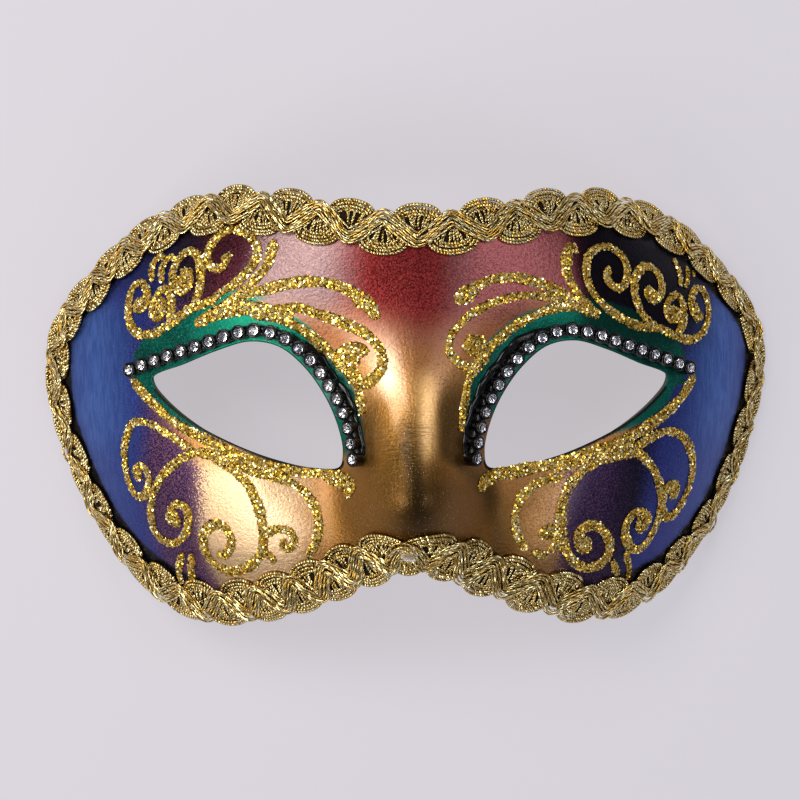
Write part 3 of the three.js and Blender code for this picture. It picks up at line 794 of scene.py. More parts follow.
class BraidBed:
    """The surface that the braid lies on, as a table of points by place along and across."""

    def __init__(self):
        plan, along, self.length = stations_along(braid_line(), BED_STEPS, closed=True)
        right, heading = plan_heading(plan, along)
        share = fold_share(plan[:, 1])
        feet, lifts = [], []
        for reach in np.arange(-REACH_MOST, REACH_MOST + REACH_STEP / 2, REACH_STEP):
            past = max(reach - FOLD_START, 0) * share * FOLD_EASE
            turn = past / FOLD_RADIUS
            spot = walk(plan, heading, reach - past + FOLD_RADIUS * np.sin(turn))
            normal = face_normal(spot)
            away = unit(right - normal * (normal * right).sum(1)[:, None])
            feet.append(face_point(spot, -FOLD_RADIUS * (1 - np.cos(turn))))
            lifts.append(normal * np.cos(turn)[:, None] + away * np.sin(turn)[:, None])
        self.feet = np.stack(feet, 1)
        self.lifts = np.stack(lifts, 1)

    def points(self, along, across, lift):
        """Points at a lift over the bed and the directions up from it, none below the table."""
        pushed, inward = braid_margin(along / self.length)
        across = pushed + across * (inward + pushed) / BRAID_REACH
        a = along / self.length * BED_STEPS
        b = np.clip((across + REACH_MOST) / REACH_STEP, 0, self.feet.shape[1] - 1.001)
        i, j = np.floor(a).astype(int), np.floor(b).astype(int)
        s, t = (a - i)[:, None], (b - j)[:, None]
        i, k = i % BED_STEPS, (i + 1) % BED_STEPS

        def between(table):
            return ((table[i, j] * (1 - s) + table[k, j] * s) * (1 - t)
                    + (table[i, j + 1] * (1 - s) + table[k, j + 1] * s) * t)

        up = unit(between(self.lifts))
        foot = between(self.feet)
        spot = foot + up * np.asarray(lift)[..., None]
        spot[:, 2] += np.maximum(0, BRAID_FLOOR - np.minimum(spot[:, 2], foot[:, 2]))
        return spot, up


def tipped_faces(rings, columns):
    """Quads and triangles of rings that close to a tip at each end; the tips come last."""
    j = np.arange(columns)
    k = (j + 1) % columns
    tip, last = rings * columns, (rings - 1) * columns
    first_tip = np.column_stack([np.full(columns, tip), j, k])
    last_tip = np.column_stack([np.full(columns, tip + 1), last + k, last + j])
    return ring_faces(rings, columns)[:, [0, 3, 2, 1]], np.concatenate([first_tip, last_tip])


CORD_SIDES = 6
CORD_END_TAPER = 0.6
# Two points nearer than this are made one
CORD_STEP = 0.36
# Keeps the turns of foil on one cord from lining up with those of the next
CORD_SHIFT = 37.3


class CordMesh:
    """Round cords gathered into one mesh, with the distance along and round each as its UV."""

    def __init__(self):
        self.points, self.quads, self.tips, self.uv = [], [], [], []
        self.total = 0

    def add(self, path, up, radius):
        steps = np.linalg.norm(np.diff(path, axis=0), axis=1)
        length = np.concatenate([[0], np.cumsum(steps)]) + CORD_SHIFT * len(self.points)
        along = unit(np.gradient(path, axis=0))
        side = unit(np.cross(along, up))
        up = np.cross(side, along)
        turn = 2 * np.pi * np.arange(CORD_SIDES) / CORD_SIDES
        ring = side[:, None] * np.cos(turn)[:, None] + up[:, None] * np.sin(turn)[:, None]
        taper = np.ones(len(path))
        taper[[0, -1]] = CORD_END_TAPER
        body = path[:, None] + ring * (radius * taper)[:, None, None]
        tips = np.stack([path[0] - along[0] * radius * 0.5, path[-1] + along[-1] * radius * 0.5])
        uv = np.stack(np.broadcast_arrays(length[:, None], turn[None] / (2 * np.pi)), -1)
        quads, tip_faces = tipped_faces(len(path), CORD_SIDES)
        self.points += [body.reshape(-1, 3), tips]
        self.uv += [uv.reshape(-1, 2), np.array([[0, 0], [length[-1], 0]])]
        self.quads.append(self.total + quads)
        self.tips.append(self.total + tip_faces)
        self.total += len(path) * CORD_SIDES + 2

    def piece(self, name, material):
        faces = [np.concatenate(self.quads), np.concatenate(self.tips)]
        return make_piece(name, np.concatenate(self.points), faces, [material],
                          uv=np.concatenate(self.uv))


def foil_cord(name, wrap, gap):
    """Gilt foil wound on a dark cotton core: each turn is a small bright facet with a dark slit
    after it, dulled to brown in places. The turns are drawn a little coarser than life."""
    material, tree = new_material(name)
    along = add_node(tree, "SeparateXYZ", {0: add_node(tree, "UVMap", uv_map="cord")}, "X")
    around = along.node.outputs["Y"]
    turns = add_node(tree, "Math", {0: along, 1: 1 / wrap, 2: around}, operation="MULTIPLY_ADD")
    phase = add_node(tree, "Math", {0: turns}, operation="FRACT")
    turn = add_node(tree, "Math", {0: turns}, operation="FLOOR")
    own = add_node(tree, "TexWhiteNoise", {"W": turn}, "Value", noise_dimensions="1D")
    angle = add_node(tree, "Math", {0: phase, 1: math.pi}, operation="MULTIPLY")
    swell = add_node(tree, "Math", {0: angle}, operation="SINE")
    foil = add_node(tree, "MapRange", {0: swell, 1: gap, 2: gap + 0.2}, **SMOOTHLY)
    colour = add_node(tree, "Mix", {0: own, 6: "#cfa544", 7: "#fff2b8"}, 2, data_type="RGBA")
    colour = mottled(tree, grain(tree, 3, detail=3), 0.5, 0.75, colour, "#6e5420", most=0.15)
    colour = add_node(tree, "Mix", {0: foil, 6: "#050301", 7: colour}, 2, data_type="RGBA")
    tilt = add_node(tree, "Math", {0: own, 1: 9, 2: -4.5}, operation="MULTIPLY_ADD")
    height = add_node(tree, "Math", {0: phase, 1: tilt, 2: swell}, operation="MULTIPLY_ADD")
    return finish_surface(material, {
        "Base Color": colour,
        "Metallic": add_node(tree, "MapRange", {0: foil, 3: 0.1, 4: 1}, **SMOOTHLY),
        "Roughness": add_node(tree, "MapRange", {0: own, 3: 0.3, 4: 0.13}, **SMOOTHLY)},
        height, 0.14)


bed = BraidBed()
# One end lies just before the middle of the nose and the other overlaps it
STARTS_BEFORE_NOSE = 1.6
ENDS_BEFORE_NOSE = 0.4
braid_start, braid_end = -STARTS_BEFORE_NOSE, bed.length - ENDS_BEFORE_NOSE

# Places along the braid, in mm from the nose, of the loops that stand out to its inner side
LOOP_PLACES = [
    3, 15, 28, 43, 59, 74, 85.5, 97.5, 111, 123, 135, 147, 158.5, 169.5, 181.5, 195.5, 212, 228.5,
    244.5, 260.5, 276, 291, 306, 319.5, 332, 343.5, 355, 365.5, 377, 390, 404, 418, 431.5, 445, 458,
    468.5, 478, 488.5, 500,
]
repeat_places = np.array([LOOP_PLACES[-1] - bed.length, *LOOP_PLACES, LOOP_PLACES[0] + bed.length])
repeat_numbers = np.arange(len(repeat_places)) - 1.0


def repeat_phase(along):
    """Number of repeats of the braid's pattern up to a place along it."""
    return np.interp(along, repeat_places, repeat_numbers)


def repeat_place(phase):
    return np.interp(phase, repeat_numbers, repeat_places)


first_phase, last_phase = repeat_phase(np.array([braid_start, braid_end]))
PHASE_PROBE = 0.001
# A cord strays a little up and sideways, at places this share of a repeat apart
STRAY_SPACING = 0.17
STRAY_UP = 0.16


def lay_cords(cords, phases, centre, count, spacing, radius, lift, loose, random):
    """Parallel cords about a centre line given as a function of the pattern's phase."""
    along, across = centre(phases)
    ahead, wide = centre(phases + PHASE_PROBE)
    slope = unit(np.column_stack([ahead - along, wide - across]))
    knots = np.arange(phases[0] - 1, phases[-1] + 1, STRAY_SPACING)
    for cord in range(count):
        offset = (cord - (count - 1) / 2) * spacing
        sway = offset + np.interp(phases, knots, random.normal(0, loose, len(knots)))
        heave = np.interp(phases, knots, random.normal(0, STRAY_UP, len(knots)))
        path, up = bed.points(along - slope[:, 1] * sway, across + slope[:, 0] * sway,
                              lift(phases, cord) + heave)
        keep = [0]
        for k in range(1, len(path)):
            if np.linalg.norm(path[k] - path[keep[-1]]) > CORD_STEP:
                keep.append(k)
        cords.add(path[keep], up[keep], radius)


ZIGZAG_SWING = 2.7
# Nearer to 1 gives sharper corners
ZIGZAG_ROUNDING = 0.93
ZIGZAG_CORDS = 7
ZIGZAG_SPACING = 0.56
ZIGZAG_RADIUS = 0.27
ZIGZAG_LIFT = 1.35
ZIGZAG_WEAVE = 0.2
# How far the weave turns from cord to cord, in radians
ZIGZAG_WEAVE_TURN = 1.3
ZIGZAG_STRAY = 0.14
ZIGZAG_STEP = 0.012


def make_zigzag():
    """Cords that swing from one edge to the other, passing over and under their neighbours."""
    scale = ZIGZAG_SWING / math.asin(ZIGZAG_ROUNDING)

    def centre(phase):
        return repeat_place(phase), scale * np.arcsin(ZIGZAG_ROUNDING * np.cos(2 * np.pi * phase))

    def weave(phase, cord):
        turn = 4 * np.pi * phase + cord * ZIGZAG_WEAVE_TURN
        return ZIGZAG_LIFT + ZIGZAG_WEAVE * np.cos(turn)

    cords = CordMesh()
    lay_cords(cords, np.arange(first_phase, last_phase, ZIGZAG_STEP), centre, ZIGZAG_CORDS,
              ZIGZAG_SPACING, ZIGZAG_RADIUS, weave, ZIGZAG_STRAY, np.random.default_rng(11))
    braid = cords.piece("scroll_braid_zigzag", foil_cord("gilt_foil_cord_zigzag", 2.1, 0.1))
    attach(braid, "root")
    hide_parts("scroll_braid")


LOOP_SWING = 4.75
LOOP_LEAN = 2.15
LOOP_CORDS = 4
LOOP_SPACING = 0.8
LOOP_RADIUS = 0.41
LOOP_LIFT = 0.62
LOOP_DIP = 0.16
LOOP_STRAY = 0.06
LOOP_STEP = 0.008
RIB_RADIUS = 0.31
RIB_PLACES = [-2.9, -2.2, -1.5, -0.8, -0.1, 0.6, 1.3, 2, 2.7]
RIB_POINTS = 7
# From the edge to just past the middle of the braid
RIB_REACH = (4.1, -0.3)
RIB_FAN = (1.25, 0.5)
RIB_BOW = 0.5
RIB_STRAY = 0.2
RIB_LIFT = 0.5
RIB_ARCH = 0.4
RIB_ARCH_LEAST_SHARE = 0.4


def make_loops():
    """The loops, then a fan of ribs in each: on the inner side at every whole repeat and on the
    outer side halfway between."""
    cords = CordMesh()
    random = np.random.default_rng(12)

    def centre(phase):
        turn = 2 * np.pi * phase
        return repeat_place(phase) + LOOP_LEAN * np.sin(2 * turn), -LOOP_SWING * np.cos(turn)

    def level(phase, _):
        return LOOP_LIFT - LOOP_DIP * np.sin(2 * np.pi * phase) ** 2

    lay_cords(cords, np.arange(first_phase, last_phase, LOOP_STEP), centre, LOOP_CORDS,
              LOOP_SPACING, LOOP_RADIUS, level, LOOP_STRAY, random)
    share = np.linspace(0, 1, RIB_POINTS)
    arch = np.sin(np.pi * share)
    reach = RIB_REACH[0] + (RIB_REACH[1] - RIB_REACH[0]) * share
    fan = RIB_FAN[0] + (RIB_FAN[1] - RIB_FAN[0]) * share
    for k in range(math.ceil(2 * first_phase), math.floor(2 * last_phase) + 1):
        for place in RIB_PLACES:
            bow = arch * random.normal(0, RIB_BOW)
            sideways = place * fan + bow + random.normal(0, RIB_STRAY)
            lift = RIB_LIFT + RIB_ARCH * arch * random.uniform(RIB_ARCH_LEAST_SHARE, 1)
            path, up = bed.points(repeat_place(k / 2) + sideways, reach * (-1) ** (k + 1), lift)
            cords.add(path, up, RIB_RADIUS)
    loops = cords.piece("scroll_braid_loops", foil_cord("gilt_foil_cord_loops", 0.75, 0.24))
    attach(loops, "root")


def dark_ground():
    """The braid's ground threads: dark brown cotton, woven close and dull."""
    material, tree = new_material("dark_cotton_ground")
    thread = grain(tree, 0.5, detail=3)
    return finish_surface(material, {
        "Base Color": mottled(tree, thread, 0.35, 0.7, "#060402", "#2a1e0e"),
        "Roughness": 0.9,
        "Specular IOR Level": 0.2}, thread, 0.3)


def bar_faces(rings, columns, base=0):
    """Quads of a bar of rings, and its two flat ends."""
    ring = np.arange(columns)[None] + base
    return base + ring_faces(rings, columns), [ring[:, ::-1], ring + (rings - 1) * columns]


GROUND_HALF_WIDTH = 4.1
GROUND_RAGGED = 0.12
# Radians of the ragged wave to a mm of braid
GROUND_WAVE = 2.9
GROUND_STEPS = 1200
# Share of the way to the edge, and lift, from one edge to the other
GROUND_PROFILE = [(-1, 0.1), (-0.94, 0.42), (-0.4, 0.55), (0.4, 0.55), (0.94, 0.42), (1, 0.1)]


def make_ground():
    """A flat band whose scalloped edges follow the loops, with a slight ragged wave."""
    along = np.linspace(braid_start, braid_end, GROUND_STEPS)
    rows = []
    for share, lift in GROUND_PROFILE:
        scallop = GROUND_HALF_WIDTH - np.sign(share) * np.cos(2 * np.pi * repeat_phase(along))
        ragged = GROUND_RAGGED * np.sin(GROUND_WAVE * along + 5 * share)
        rows.append(bed.points(along, share * scallop + ragged, lift)[0])
    quads, ends = bar_faces(GROUND_STEPS, len(GROUND_PROFILE))
    ground = make_piece("scroll_braid_ground", np.stack(rows, 1).reshape(-1, 3), [quads, *ends],
                        [dark_ground()])
    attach(ground, "root")


make_zigzag()
make_loops()
make_ground()


# Glue over the braid's ends
# The two ends of the braid meet under the nose in a lump of clear hot glue, set glossy and
# a little cloudy.

GLUE_MIDDLE = -1.2
GLUE_HALF_LENGTH = 1.9
GLUE_HALF_WIDTH = 2.3
GLUE_HALF_HEIGHT = 1.0
GLUE_CENTRE_LIFT = 0.9
GLUE_LOWEST = 0.15
GLUE_WAVE = 0.05
GLUE_RINGS = 23
GLUE_SIDES = 40


def clear_glue():
    """Hot-melt glue: clear and glossy with a faint yellow cloudiness."""
    material, tree = new_material("clear_hot_glue")
    return finish_surface(material, {
        "Base Color": "#e6cfa6",
        "Roughness": 0.3,
        "IOR": 1.48,
        "Transmission Weight": 0.85}, grain(tree, 1.6, detail=3), 0.8, 0.8)


def make_glue_lump():
    """A ball pressed flat on the braid, with waves over it in six directions drawn by chance."""
    waves = np.random.default_rng(21).uniform(-1, 1, (6, 3))
    down = np.linspace(0, np.pi, GLUE_RINGS + 2)[1:-1]
    around = 2 * np.pi * np.arange(GLUE_SIDES) / GLUE_SIDES
    a, b = np.meshgrid(down, around, indexing="ij")
    ball = np.stack([np.sin(a) * np.cos(b), np.sin(a) * np.sin(b), np.cos(a)], -1).reshape(-1, 3)
    ball = np.concatenate([ball, [[0, 0, 1.0], [0, 0, -1.0]]])
    swell = 1 + GLUE_WAVE * sum(np.sin(3 * ball @ wave + 5 * wave[0]) for wave in waves)
    along = GLUE_MIDDLE + GLUE_HALF_LENGTH * ball[:, 0] * swell
    across = GLUE_HALF_WIDTH * ball[:, 1] * swell
    lift = np.maximum(GLUE_CENTRE_LIFT + GLUE_HALF_HEIGHT * ball[:, 2] * swell, GLUE_LOWEST)
    points, _ = bed.points(along, across, lift)
    lump = make_piece("glue_over_braid_ends", points, tipped_faces(GLUE_RINGS, GLUE_SIDES),
                      [clear_glue()])
    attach(lump, "root")


make_glue_lump()


# Rhinestone banding
# Two lengths of moulded black plastic strip, one glued along each upper lid: a round cup with
# a raised lip for every stone and a narrow web between the cups. Black glue has squeezed out
# along the nose side of each.

BANDING_LINE = [
    (65.9, 8.7), (58.3, 12), (49.5, 15.5), (41.5, 18.6), (36.3, 19.7), (30, 18.4), (24.3, 14.3),
    (19, 8), (15.4, 2.2), (13.5, -3.6), (12.6, -9.5),
]
STONES_PER_EYE = 21
# Radius and height of the cup's wall, from its foot outside, over the lip, into the seat and
# back down the middle
CUP_PROFILE = [
    (1.72, 0.02), (1.78, 0.6), (1.76, 2.2), (1.82, 2.55), (1.82, 2.8), (1.74, 2.96), (1.52, 3.04),
    (1.3, 3.0), (1.2, 2.88), (1.15, 2.4), (0.05, 2.2), (0.05, 0.02),
]
CUP_SIDES = 24
WEB_PINCH = 0.1
WEB_STEPS = 160
WEB_HALF_WIDTH = 1.55
WEB_TOP = 2.1
# Share of the half width, and of the height
WEB_PROFILE = [(-1, 0.02), (-1, 0.8), (-0.85, 0.97), (0, 1), (0.85, 0.97), (1, 0.8), (1, 0.02)]


def black_plastic():
    """Glossy black injection-moulded plastic: near black, smooth, with a few soft scuffs."""
    material, tree = new_material("moulded_black_plastic")
    scuff = grain(tree, 1.1, detail=4)
    return finish_surface(material, {
        "Base Color": mottled(tree, scuff, 0.5, 0.8, "#030304", "#0c0c0e"),
        "Roughness": add_node(tree, "MapRange", {0: scuff, 1: 0.3, 2: 0.7, 3: 0.1, 4: 0.2}, **SMOOTHLY),
        "Specular IOR Level": 0.35}, scuff, 0.06)


def banding_line(side):
    return smooth_line([(side * x, y) for x, y in raised(BANDING_LINE)], closed=False)


def cup_frames(side):
    """Plan point of each cup, with the directions along and across the strip and up."""
    plan, along, _ = stations_along(banding_line(side), STONES_PER_EYE, closed=False)
    normal = face_normal(plan)
    along = unit(along - normal * (along * normal).sum(1)[:, None])
    return plan, along, np.cross(normal, along), normal


def make_banding(label, side, material):
    """The cups, and the web that runs along under them and narrows between them."""
    plan, along, across, normal = cup_frames(side)
    foot = face_point(plan, 0)
    turn = (2 * np.pi * np.arange(CUP_SIDES) / CUP_SIDES)[:, None]
    spokes = along[:, None] * np.cos(turn) + across[:, None] * np.sin(turn)
    cups = np.stack([foot[:, None] + spokes * radius + normal[:, None] * height
                     for radius, height in CUP_PROFILE], 1).reshape(-1, 3)
    cup = len(CUP_PROFILE) * CUP_SIDES
    faces = ring_faces(len(CUP_PROFILE), CUP_SIDES, closed=True)
    faces = [faces + k * cup for k in range(STONES_PER_EYE)]

    plan, along, _ = stations_along(banding_line(side), WEB_STEPS, closed=False)
    normal = face_normal(plan)
    right = unit(np.cross(along, normal))
    stone = np.linspace(0, STONES_PER_EYE - 1, WEB_STEPS)
    pinch = 1 - WEB_PINCH + WEB_PINCH * np.cos(2 * np.pi * stone)
    web = np.stack([
        face_point(plan, 0) + right * wide * WEB_HALF_WIDTH * pinch[:, None] + normal * tall * WEB_TOP
        for wide, tall in WEB_PROFILE], 1).reshape(-1, 3)
    web_faces, ends = bar_faces(WEB_STEPS, len(WEB_PROFILE), base=len(cups))
    banding = make_piece("banding_%s_fine" % label, np.concatenate([cups, web]),
                         [np.concatenate([*faces, web_faces]), *ends], [material])
    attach(banding, "root")
    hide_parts("banding_%s" % label)


# How far the squeezed-out glue reaches to the nose side, by stones counted from the temple
GLUE_SMEAR = [
    (9.6, 1.2), (10.6, 1.9), (11.6, 2.7), (12.6, 3.2), (14, 3.3), (15.5, 3.3), (17, 3.2),
    (18.6, 3.0), (20, 2.5), (20.8, 1.6),
]
# Less of it has run out at the left eye
SMEAR_LEFT_SHARE = 0.66
SMEAR_WAVE = 0.22
SMEAR_RIPPLE = 0.14
SMEAR_STEPS = 320
# Share of the reach, and lift
SMEAR_PROFILE = [
    (0.2, -0.3), (0.3, 1.1), (0.6, 0.8), (0.8, 0.72), (0.92, 0.55), (0.985, 0.3), (1, -0.3),
]


def make_glue_smear(label, side, material):
    """Black glue that has run out flat from under the strip and set with a rounded, wavy edge."""
    plan, along, _ = stations_along(banding_line(side), SMEAR_STEPS, closed=False)
    stone = np.linspace(0, STONES_PER_EYE - 1, len(plan))
    places, reaches = np.array(GLUE_SMEAR).T
    keep = (stone > places[0]) & (stone < places[-1])
    plan, along, stone = plan[keep], along[keep], stone[keep]
    _, heading = plan_heading(plan, along)
    heading = heading * (1 if heading[len(heading) // 2, 0] * side < 0 else -1)
    reach = np.interp(stone, places, reaches) * (SMEAR_LEFT_SHARE if side < 0 else 1)
    reach = reach + SMEAR_WAVE * np.sin(2.1 * stone + side) + SMEAR_RIPPLE * np.sin(5.3 * stone)
    rows = [face_point(walk(plan, heading, share * reach, steps=6), lift)
            for share, lift in SMEAR_PROFILE]
    quads, ends = bar_faces(len(plan), len(SMEAR_PROFILE))
    smear = make_piece("black_glue_%s" % label, np.stack(rows, 1).reshape(-1, 3), [quads, *ends],
                       [material])
    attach(smear, "root")


plastic = black_plastic()
for label, side in (("left", -1), ("right", 1)):
    make_banding(label, side, plastic)
    make_glue_smear(label, side, plastic)


# Rhinestones
# Clear cut stones about 3 mm across, pressed into the cups: a flat table, a ring of facets and
# a low pointed back with silver foil behind it, which throws the light out again.

# Radius and height of the table's corners, and of the corners where the facets break
STONE_TABLE = (0.58, 0.36)
STONE_BREAK = (0.9, 0.25)
STONE_GIRDLE = 1.15
STONE_DEPTH = 0.4
STONE_SEAT = 2.96
STONE_LEAN = 0.05


def clear_stone():
    """Cut and polished clear resin: see-through, sharp-edged, with bright reflections."""
    material, _ = new_material("clear_cut_resin")
    return finish_surface(material, {
        "Base Color": "#fbfcff",
        "Roughness": 0.02,
        "IOR": 1.58,
        "Transmission Weight": 1.0})


def mirror_foil():
    """Vacuum-deposited silver behind the stone: a mirror broken by the facets it lies on."""
    material, tree = new_material("silver_foil_backing")
    return finish_surface(material, {
        "Base Color": mottled(tree, grain(tree, 0.9), 0.4, 0.6, "#c4c6cc", "#f4f4f6"),
        "Metallic": 1.0,
        "Roughness": 0.08})


def stone_mesh():
    """Points and faces of a stone about its girdle and of the foil cone behind it, and which
    faces are foil."""
    def ring(radius, height, sides, shift):
        turn = 2 * np.pi * (np.arange(sides) + shift) / sides
        return np.column_stack([radius * np.cos(turn), radius * np.sin(turn), np.full(sides, height)])

    points = np.concatenate([
        ring(*STONE_TABLE, 8, 0),
        ring(*STONE_BREAK, 8, 0.5),
        ring(STONE_GIRDLE, 0.05, 16, 0),
        ring(STONE_GIRDLE, -0.05, 16, 0),
        [[0, 0, -STONE_DEPTH]],
        ring(STONE_GIRDLE - 0.04, -0.1, 8, 0.5),
        [[0, 0, -STONE_DEPTH - 0.05]],
        ring(STONE_GIRDLE - 0.02, -0.2, 8, 0.5),
        [[0, 0, -STONE_DEPTH - 0.14]]])
    # Where each of these begins in the points; the table comes first
    bend, girdle, belt, tip, front, front_tip, back, back_tip = 8, 16, 32, 48, 49, 57, 58, 66
    cut, foil, foil_rim = [], [], []
    for k in range(8):
        n = (k + 1) % 8
        even, odd, next_even = girdle + 2 * k, girdle + 2 * k + 1, girdle + 2 * n
        cut += [(k, bend + k, n), (k, even, bend + k), (bend + k, next_even, n)]
        cut += [(bend + k, even, odd), (bend + k, odd, next_even)]
        foil.append((front_tip, front + k, front + n))
        foil_rim.append((back + k, back + n, front + n, front + k))
    foil += [(back_tip, back + (k + 1) % 8, back + k) for k in range(8)]
    cut += [(tip, belt + (k + 1) % 16, belt + k) for k in range(16)]
    cut_rim = [(girdle + k, belt + k, belt + (k + 1) % 16, girdle + (k + 1) % 16) for k in range(16)]
    faces = [np.array(cut + foil), np.array(cut_rim + foil_rim), np.arange(8)[None]]
    marks = [0] * len(cut) + [1] * len(foil) + [0] * len(cut_rim) + [1] * len(foil_rim) + [0]
    return points, faces, np.array(marks)


def make_stones(label, side, materials):
    plan, along, across, normal = cup_frames(side)
    seat = face_point(plan, STONE_SEAT)
    points, faces, marks = stone_mesh()
    random = np.random.default_rng(31 if side < 0 else 32)
    for k in range(STONES_PER_EYE):
        turn = random.uniform(0, 2 * np.pi)
        lean = unit(normal[k] + STONE_LEAN * random.normal(size=3))
        first = math.cos(turn) * along[k] + math.sin(turn) * across[k]
        first = unit(first - lean * (lean @ first))
        placed = seat[k] + points @ np.stack([first, np.cross(lean, first), lean])
        node = "stone_%s_%02d" % (label, k + 1)
        piece = make_piece(node + "_cut", placed, faces, materials, face_material=marks,
                           smooth=False)
        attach(piece, "root")
        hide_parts(node)


stone_materials = [clear_stone(), mirror_foil()]
for label, side in (("left", -1), ("right", 1)):
    make_stones(label, side, stone_materials)


# Glitter scrolls
# Clear glue drawn on freehand from a fine nozzle and loaded with coarse gold glitter: raised
# beads that swell and thin out, crusted with flat foil flakes lying every way.

